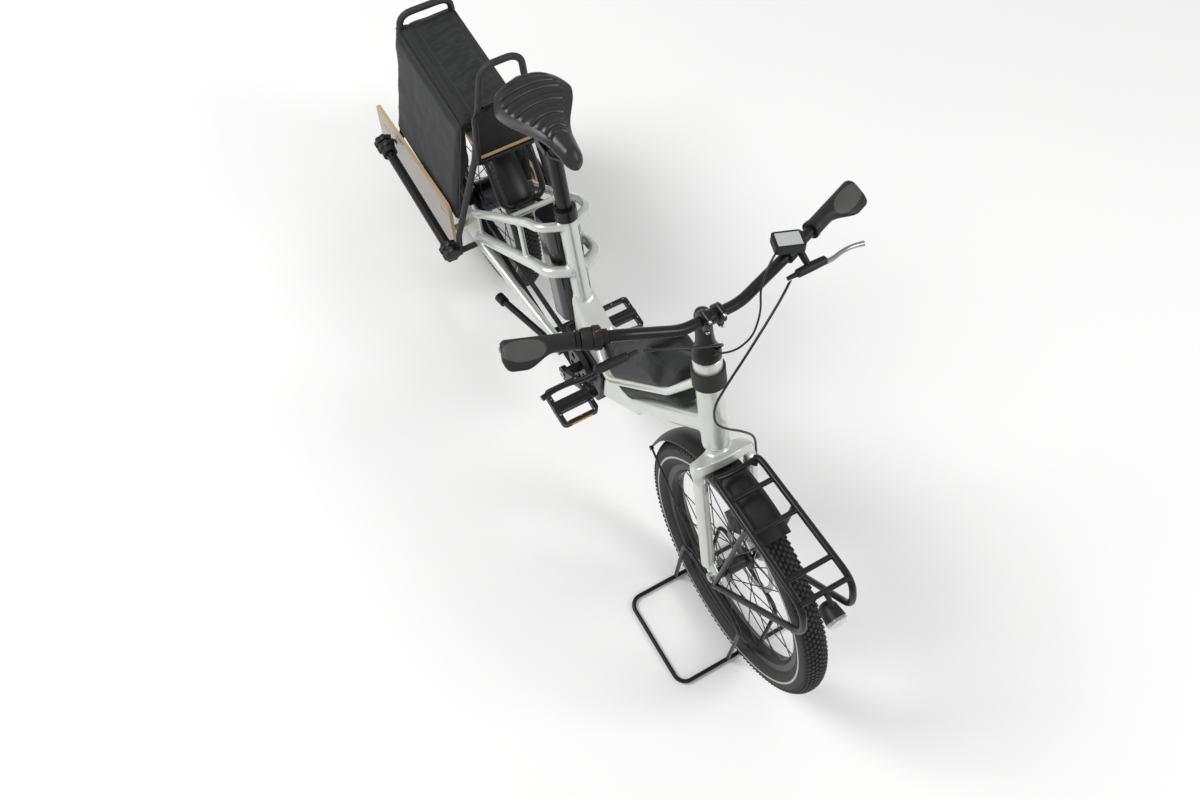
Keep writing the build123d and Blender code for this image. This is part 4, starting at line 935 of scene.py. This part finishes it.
def make_grip(side):
    """Palm grip of one side, with a gel pad on its wing."""
    grip = new_cube("grip_right" if side < 0 else "grip_left", 2, 31)
    inward, back, up = bar_frame(side)
    start = bar_place(side, bar_end.y) - inward * 1 * mm
    for vertex in grip.data.vertices:
        a = vertex.co.y * math.sqrt(max(0.0, 1 - vertex.co.z ** 2 / 2))
        b = vertex.co.z * math.sqrt(max(0.0, 1 - vertex.co.y ** 2 / 2))
        along = (vertex.co.x + 1) / 2
        wing = ease(along / 0.3 + 0.55) * (1 - ease((along - 0.30) / 0.42))
        rim = math.sqrt(1 - 0.55 * (1 - min(1.0, along / 0.07)) ** 2)
        rim -= 0.06 * ease((along - 0.96) / 0.04)
        out = a * grip_radius * rim
        high = b * grip_radius * rim
        if a > 0:
            out += a * wing_reach * wing * rim
            high *= 1 - 0.45 * wing * a ** 0.8
        high -= 4 * mm * wing * max(0.0, a)
        ribs = rib_depth * math.sin(along * grip_length / rib_pitch * 2 * math.pi)
        ribs *= (a < 0) * min(1, -2 * a)
        radial = math.hypot(a, b)
        out -= ribs * a / radial if radial > 0.9 else 0
        high -= ribs * b / radial if radial > 0.9 else 0
        vertex.co = start + inward * along * grip_length + back * out + up * high
    face_outwards(grip)
    smooth(grip, 50)
    pad = start + inward * 0.30 * grip_length + back * 13 * mm
    finish_piece(grip, "steering", padded_rubber(pad, inward, back), ["grips"])


for side in (-1, 1):
    make_grip(side)

# %% [markdown]
# ## Bolts
# One socket-head bolt is turned from a short cylinder: its top is inset and raised for a sloping
# rim, then pushed down to make the socket. Copies with their own mesh go wherever the bicycle is
# screwed together.


# %% One bolt and its places
def make_bolt(radius, height):
    """A button-head bolt that stands on the origin and points up Z."""
    bolt = new_cylinder("bolt", radius, height, 20)
    inset_top(bolt, [(radius * 0.18, height * 0.25), (radius * 0.30, 0), (radius * 0.02, -height * 0.7)])
    return smooth(bolt, 30)


def pointing(location, axis):
    """Matrix that stands a piece on a place and turns its Z to an axis."""
    turned_to = Vector(axis).normalized().to_track_quat("Z", "Y").to_matrix().to_4x4()
    return Matrix.Translation(Vector(location)) @ turned_to


def bolts(name, body, places, radius, height):
    """Copies of one steel bolt at (location, axis) places, joined as one piece."""
    first = make_bolt(radius, height)
    copies = [copy_of(first, pointing(*spot)) for spot in places]
    bpy.data.objects.remove(first)
    return finish_piece(joined(copies, name), body, bright_steel)


bolts(
    "stem_bolts", "steering",
    [
        (ahead_of(-237, side * 15.5, 984 + rise * 18), (1, 0, 0))
        for side in (-1, 1) for rise in (-1, 1)
    ],
    3.6 * mm, 3.5 * mm,
)
bolts(
    "grip_end_bolts", "steering",
    [
        (bar_place(side, bar_end.y) - bar_frame(side)[0] * 0.5 * mm, -bar_frame(side)[0])
        for side in (-1, 1)
    ],
    5 * mm, 2.5 * mm,
)
print("bolts placed")

# %% [markdown]
# ## Front rack
# The rack is bent from tube a little over 14 mm thick: each side runs forward from the fork's
# crown, turns down beside the lamp and comes back to an eyelet on the fork. A strut props it from
# the same eyelet. Four bars cross between the sides, and a fifth is bent round the crown.

# %% Front rack
rail_tube, strut_tube, bar_tube = 7.2 * mm, 5.6 * mm, 5.8 * mm
rack_half_width = 57
eyelet = ahead_of(22, -71, 324)
rail = bent_tube(
    "rail",
    [
        ahead_of(-78, -40, 640), ahead_of(-92, -52, 655), ahead_of(224, -rack_half_width, 678),
        ahead_of(252, -rack_half_width, 604), eyelet,
    ],
    rail_tube, 34 * mm, 7,
)
strut = bent_tube("strut", [eyelet, ahead_of(36, -rack_half_width, 664)], strut_tube, 10 * mm)
bars = [rail, strut, mirror_twin(rail), mirror_twin(strut)]
for ahead in (-29, 50, 162, 214):
    height = 654 + (ahead + 100) / 323 * 24
    ends = [ahead_of(ahead, y, height) for y in (-rack_half_width, rack_half_width)]
    bars.append(bent_tube("bar", ends, bar_tube, 10 * mm))
crown_bar = bent_tube(
    "bar",
    [ahead_of(x, y, z) for x, y, z in ((-86, -52, 652), (-84, -20, 644), (-84, 20, 644),
                                       (-86, 52, 652))],
    bar_tube, 20 * mm,
)
rack = joined(bars + [crown_bar], "front_rack_tubes")
finish_piece(rack, "steering", black_tube, ["front_rack"])

# %% [markdown]
# ## Rear hoop
# The hoop's legs stand inside the bag's side pockets and come out above its top. A tie between the legs
# carries the rear light.

# %% Rear hoop
hoop = bent_tube(
    "rear_hoop_tube",
    [
        (rear_axle.x - 0.292, y, z)
        for y, z in ((-0.130, 0.232), (-0.108, 0.240), (-0.097, 0.310), (-0.071, 0.590), (-0.068, 0.662),
                     (0.068, 0.662), (0.071, 0.590), (0.097, 0.310), (0.108, 0.240), (0.130, 0.232))
    ],
    8.5 * mm, 34 * mm, 7,
)
light_low, light_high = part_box("rear_light")
light_middle = (light_low + light_high) / 2
light_tie = bent_tube(
    "light_tie", [(light_high.x + 4 * mm, y, light_middle.z) for y in (-0.073, 0.073)], 5 * mm, 10 * mm
)
hoop_and_tie = joined([hoop, light_tie], "rear_hoop_tube")
finish_piece(hoop_and_tie, "frame", hoop_foam, ["rear_hoop"])

# %% [markdown]
# ## Stem
# The stem rises from a bell-shaped bearing cover. Its clamp is two narrow bands round the bar with
# a gap between them, closed by four screws. The column is swept along the steering axis with a
# radius at each height.

# %% Stem
def on_steering(height):
    """Place on the steering axis at a height."""
    return steering_point + steering_axis * ((height - steering_point.z) / steering_axis.z)


profile = ((0.863, 27), (0.864, 29.5), (0.872, 29.5), (0.880, 27), (0.888, 22.5), (0.898, 19),
           (0.912, 17.6), (0.945, 17.0), (0.958, 16.4), (0.966, 13), (0.969, 8))
column = swept(
    "column",
    [on_steering(height) for height, _ in profile], [radius * mm for _, radius in profile], 14,
)
bar_clamp = ahead_of(-253, 0, 984)
screw_across, screw_rise = 15.5, 18
arm = swept("arm", [on_steering(0.950), bar_clamp], [16 * mm, 14 * mm], 12)
bands = [
    turned_piece(
        "band", bar_clamp, y_axis, [(side * 8, 17), (side * 9, 19), (side * 22, 19), (side * 23, 17)], 14
    )
    for side in (-1, 1)
]
core = turned_piece("core", bar_clamp, y_axis, [(-9, 15), (9, 15)], 14)
ears = [
    turned_piece(
        "ear", bar_clamp + Vector((9, side * screw_across, rise * screw_rise)) * mm, x_axis,
        [(-15, 4.6), (-14, 6), (6, 6), (7, 5)],
    )
    for side in (-1, 1) for rise in (-1, 1)
]
stem = joined([column, arm, core] + bands + ears, "stem_and_cover")
finish_piece(stem, "steering", black_tube, ["stem"])

# %% [markdown]
# ## Brake levers
# A hydraulic lever is a turned master cylinder beside the bar, a clamp round the bar, and a forged
# blade with a hooked tip that drops ahead of the fingers. Each part is a tube swept along a few
# points, with a radius for each point.

# %% Levers
master_steps = ((158, 1000, 4), (176, 1000, 5), (180, 1001, 8.6), (214, 1003, 9.4), (240, 1003, 8.6),
                (244, 1003, 4))
blade_steps = ((-252, 214, 1001, 5), (-244, 236, 1000, 5.5), (-248, 262, 990, 5), (-258, 292, 981, 4.6),
               (-260, 322, 977, 4.6), (-256, 342, 975, 5.4))
for side, blade_finish in ((-1, black_tube), (1, lever_alloy)):
    name = "right" if side < 0 else "left"
    master = swept(
        "brake_master_" + name,
        [ahead_of(-247, side * y, z) for y, z, _ in master_steps],
        [radius * mm for _, _, radius in master_steps],
    )
    on_bar = bar_place(side, 0.202)
    band_steps = [(-7, 13), (-6, 14.5), (6, 14.5), (7, 13)]
    band = turned_piece("band", on_bar, bar_frame(side)[0], band_steps, 10)
    neck = swept("neck", [on_bar, ahead_of(-249, side * 206, 1003)], [8 * mm, 6 * mm])
    lever = joined([master, band, neck], "brake_master_" + name)
    finish_piece(lever, "steering", black_nylon, ["brake_levers"])
    blade = swept(
        "brake_blade_" + name,
        [ahead_of(x, side * y, z) for x, y, z, _ in blade_steps],
        [radius * mm for _, _, _, radius in blade_steps], smooth_path=True,
    )
    finish_piece(blade, "steering", blade_finish, ["brake_levers"])

# %% [markdown]
# ## Twist shifter and bar rings
# The shifter is a drum that the hand turns: a smooth housing beside a ribbed sleeve, with a red
# line that marks the gear. The ribs come from moving rows of the sleeve's points out and in by
# turns.


# %% Twist shifter
def turned(name, side, steps, sides=16):
    """A sleeve turned about the bar, from (distance, radius) steps in millimetres."""
    places = [bar_place(side, distance * mm) for distance, _ in steps]
    return swept(name, places, [radius * mm for _, radius in steps], sides)


housing = turned(
    "shifter_housing", -1, ((206, 14), (206.5, 20), (209, 22.5), (219, 22.5), (221, 21.5), (221.2, 19))
)
finish_piece(housing, "steering", black_nylon, ["gear_shifter"])
rib_count, rib_height = 24, 0.7 * mm
sleeve = turned(
    "shifter_sleeve", -1, ((220, 16), (221.5, 19.5), (226, 20), (236, 19.5), (240, 18), (241, 15)), 24
)
inward, back, _ = bar_frame(-1)
for vertex in sleeve.data.vertices:
    arm = vertex.co - bar_place(-1, 0.230)
    arm -= inward * arm.dot(inward)
    turn = math.atan2(arm.z, arm.dot(back))
    if arm.length > 17 * mm:
        vertex.co += arm.normalized() * rib_height * math.copysign(1, math.sin(turn * rib_count))
finish_piece(sleeve, "steering", grip_rubber, ["gear_shifter"])
mark = make_plate(
    "shifter_mark", (1.6 * mm, 7 * mm, 1.0 * mm),
    pointing(bar_place(-1, 0.214) + Vector((0, 0, 22.4 * mm)), (0, 0, 1)), 0.3 * mm, 0.1 * mm, 0,
)
finish_piece(mark, "steering", red_print)
rings = [turned("ring", side, ((242, 15), (242.3, 18), (249, 18), (249.3, 16))) for side in (-1, 1)]
finish_piece(joined(rings, "grip_clamps"), "steering", rim_alloy)

# %% [markdown]
# ## Screws of the crank, the collar and the discs
# The crank arms end in wide dust caps, two screws pinch the seat collar across its slot, and six screws
# hold each brake disc on its hub.

# %% Screws
bolts(
    "crank_caps", "crank",
    [((crank_axle.x, side * 94.5 * mm, crank_axle.z), (0, side, 0)) for side in (-1, 1)],
    10 * mm, 3 * mm,
)
collar_low, collar_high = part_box("seat_collar")
collar_middle = (collar_low + collar_high) / 2
collar_places = [collar_middle + Vector((-27, 0, rise)) * mm for rise in (-2, 8)]
ears = [
    turned_piece("collar_ear", spot, y_axis, [(-11, 4), (-10, 5.5), (10, 5.5), (11, 4)])
    for spot in collar_places
]
finish_piece(joined(ears, "seat_collar_ears"), "frame", black_tube)
bolts(
    "seat_collar_screws", "frame",
    [(spot - y_axis * 10.5 * mm, (0, -1, 0)) for spot in collar_places],
    3.4 * mm, 3 * mm,
)
disc_screw_circle = 18.5 * mm
for side, wheel in wheels.items():
    low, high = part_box(side + "_disc")
    centre = (low + high) / 2
    spots = []
    for step in range(6):
        turn = math.radians(60 * step + 30)
        spots.append((
            (
                centre.x + disc_screw_circle * math.cos(turn), high.y - 0.2 * mm,
                centre.z + disc_screw_circle * math.sin(turn),
            ),
            (0, 1, 0),
        ))
    bolts(side + "_disc_screws", wheel["body"], spots, 3.2 * mm, 2.4 * mm)

# %% [markdown]
# ## Footrest knobs
# Pairs of moulded knobs with finger lobes close the clamps of the footrest tubes. Two of every four
# edges of a short cylinder are drawn in, and Bevel rounds the lobes.

# %% Footrest knobs
clamp_low, clamp_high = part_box("footrest_clamps")
knob_across, knob_height, knob_sides = 0.163, 0.250, 28
knobs = []
for side in (-1, 1):
    for x in (clamp_low.x + 16 * mm, clamp_high.x - 16 * mm):
        for shift in (-10.5 * mm, 10.5 * mm):
            deselect()
            bpy.ops.mesh.primitive_cylinder_add(
                vertices=knob_sides, radius=24.5 * mm, depth=17 * mm,
                location=(x + shift, side * knob_across, knob_height), rotation=(0, math.pi / 2, 0),
            )
            knob = settle(bpy.context.object)
            for vertex in knob.data.vertices:
                arm = Vector((0, vertex.co.y - side * knob_across, vertex.co.z - knob_height))
                step = round(math.atan2(arm.z, arm.y) / (2 * math.pi) * knob_sides)
                if step % 4 in (0, 1):
                    vertex.co -= arm * 0.13
            knobs.append(bevel(knob, 2.2 * mm, 2, 20))
knob_piece = smooth(joined(knobs, "footrest_knobs"), 45)
finish_piece(knob_piece, "frame", black_nylon)

# %% [markdown]
# ## Display
# The display's face is a flat glass that leans back on its case. The glass is a plate whose face is
# inset and raised a little.

# %% Display glass
turn_back = math.atan2(bar_end.y - bar_bend.y, bar_bend.x - bar_end.x) - math.pi / 2
display_frame = (
    Matrix.Translation(bar_place(1, 0.176) + Vector((-8, 0, 29)) * mm)
    @ Matrix.Rotation(turn_back, 4, "Z")
    @ Matrix.Rotation(-math.radians(12), 4, "Y")
)
glass = make_plate(
    "display_glass", (33 * mm, 46 * mm, 1.6 * mm), display_frame @ Matrix.Translation((0, 0, 8.4 * mm)),
    1.2 * mm, 0.5 * mm, 0.6 * mm,
)
finish_piece(glass, "steering", screen_glass)

# %% [markdown]
# ## Lamps
# The front lamp has a stepped clear lens in a bright rim: a cylinder's front face is inset and
# pushed in and out, step by step. The rear lamp has a long red plate.


# %% Lenses
def make_lens(name, radius, depth, matrix):
    """A stepped round lens that points up its own Z."""
    lens = new_cylinder(name, radius, depth, 40)
    steps = ((0.12, 0.25), (0.05, -0.2), (0.3, 0.45), (0.3, 0.15))
    inset_top(lens, [(radius * inward, depth * outward) for inward, outward in steps])
    lens.data.transform(matrix)
    return smooth(lens, 25)


lamp_front = Vector((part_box("headlight")[1].x, 0, 0.640))
lamp_shell = turned_piece(
    "headlight_shell", lamp_front, x_axis,
    [(-52, 6), (-50, 13), (-40, 19), (-22, 21), (-12, 22), (-8, 22), (-8, 19)], 14,
)
lamp_neck = bent_tube(
    "neck", [ahead_of(214, 0, 672), ahead_of(232, 0, 672), ahead_of(244, 0, 655)], 5 * mm, 8 * mm,
)
lamp_case = joined([lamp_shell, lamp_neck], "headlight_shell")
finish_piece(lamp_case, "steering", black_nylon, ["headlight"])
ring = make_lens("headlight_ring", 21.4 * mm, 5 * mm, pointing(lamp_front - x_axis * 12 * mm, x_axis))
finish_piece(ring, "steering", lever_alloy)
lens = make_lens("headlight_lens", 18 * mm, 7 * mm, pointing(lamp_front - x_axis * 9 * mm, x_axis))
finish_piece(lens, "steering", clear_lens)
light_size = light_high - light_low
tail = make_plate(
    "rear_light_lens", (light_size.y * 0.86, light_size.z * 0.6, 4 * mm),
    pointing((light_low.x - 0.5 * mm, light_middle.y, light_middle.z), -x_axis), 3 * mm, 1.5 * mm,
)
finish_piece(tail, "frame", red_lens)

# %% [markdown]
# ## Pedals
# The platforms are bare in the CAD model. Ten steel pins stand on each face of a pedal for grip,
# and an amber reflector is let into the edge that looks ahead and the edge that looks back.

# %% Pedal pins and reflectors
pin_places = [(ahead, out) for ahead in (-44, 44) for out in (-34, 0, 34)]
pin_places += [(ahead, out) for out in (-40, 40) for ahead in (-22, 22)]
for side, node in ((-1, "pedal_right"), (1, "pedal_left")):
    low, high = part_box(node)
    middle = place(node + "_spin")
    # The spindle sticks out towards the crank, so the platform is counted from its outer end.
    outer = low.y if side < 0 else high.y
    centre = Vector((middle.x, outer - side * 46 * mm, middle.z))
    pins = [
        (centre + Vector((ahead, out, face * 8.2)) * mm, (0, 0, face))
        for face in (-1, 1) for ahead, out in pin_places
    ]
    bolts(node + "_pins", node, pins, 2.0 * mm, 2.2 * mm)
    plates = [
        make_plate(
            node + "_reflector", (52 * mm, 10 * mm, 3 * mm),
            pointing(centre + x_axis * ahead * 50 * mm, (ahead, 0, 0)), 1.2 * mm, 0.4 * mm, 0.6 * mm,
        )
        for ahead in (-1, 1)
    ]
    finish_piece(joined(plates, node + "_reflectors"), node, amber_lens)

# %% [markdown]
# ## Floor, light and camera
# A pale floor runs far out on every side. Two soft boxes and a white sky light the bicycle evenly,
# as in a plain studio.

# %% Floor
deselect()
bpy.ops.mesh.primitive_plane_add(size=90, location=(0, 0, -2.2 * mm))
floor = bpy.context.object
floor.name = "studio_floor"
floor_paint = surface("Matt white studio floor", "#F6F6F6", "#F9F9F8", 900, 6, 0.02, roughness=0.9)
floor.data.materials.append(floor_paint)

# %% World and lamps
world = bpy.data.worlds.new("Studio")
bpy.context.scene.world = world
world.use_nodes = True
tree = world.node_tree
background = tree.nodes["Background"]
background.inputs["Color"].default_value = (1.0, 1.0, 1.0, 1.0)
path = add(tree, "ShaderNodeLightPath")
seen = calc(tree, "MAXIMUM", path.outputs["Is Camera Ray"], path.outputs["Is Transmission Ray"])
level = add(tree, "ShaderNodeMapRange", {"Value": seen, "To Min": 0.62, "To Max": 0.98})
tree.links.new(level.outputs["Result"], background.inputs["Strength"])


def lamp(name, location, size, energy):
    """A square soft box that looks at the middle of the bicycle."""
    data = bpy.data.lights.new(name, "AREA")
    data.size = size
    data.energy = energy
    thing = bpy.data.objects.new(name, data)
    thing.location = location
    thing.rotation_euler = (Vector((0, 0, 0.4)) - Vector(location)).to_track_quat("-Z", "Y").to_euler()
    bpy.context.collection.objects.link(thing)
    return thing


lamp("Key soft box", (-1.6, -2.8, 4.0), 1.8, 120)
lamp("Fill soft box", (2.8, 2.6, 3.4), 1.4, 60)

# %% Camera
camera_data = bpy.data.cameras.new("Camera")
camera_data.sensor_width = 36
camera_data.lens = 35.98
camera = bpy.data.objects.new("Camera", camera_data)
bpy.context.collection.objects.link(camera)
turn, tilt, roll = math.radians(145.99), math.radians(62.18), math.radians(4.69)
look = Vector((math.cos(turn) * math.cos(tilt), math.sin(turn) * math.cos(tilt), -math.sin(tilt)))
level_right = Vector((math.sin(turn), -math.cos(turn), 0))
level_up = level_right.cross(look)
right = level_right * math.cos(roll) + level_up * math.sin(roll)
upward = level_up * math.cos(roll) - level_right * math.sin(roll)
camera_place = Vector((0.5931 + front_axle.x, -0.7947, 2.8022))
columns = (right, upward, -look)
camera.matrix_world = Matrix.Translation(camera_place) @ Matrix(
    [[column[row] for column in columns] for row in range(3)]
).to_4x4()
bpy.context.scene.camera = camera
bpy.context.scene.view_settings.view_transform = "Standard"
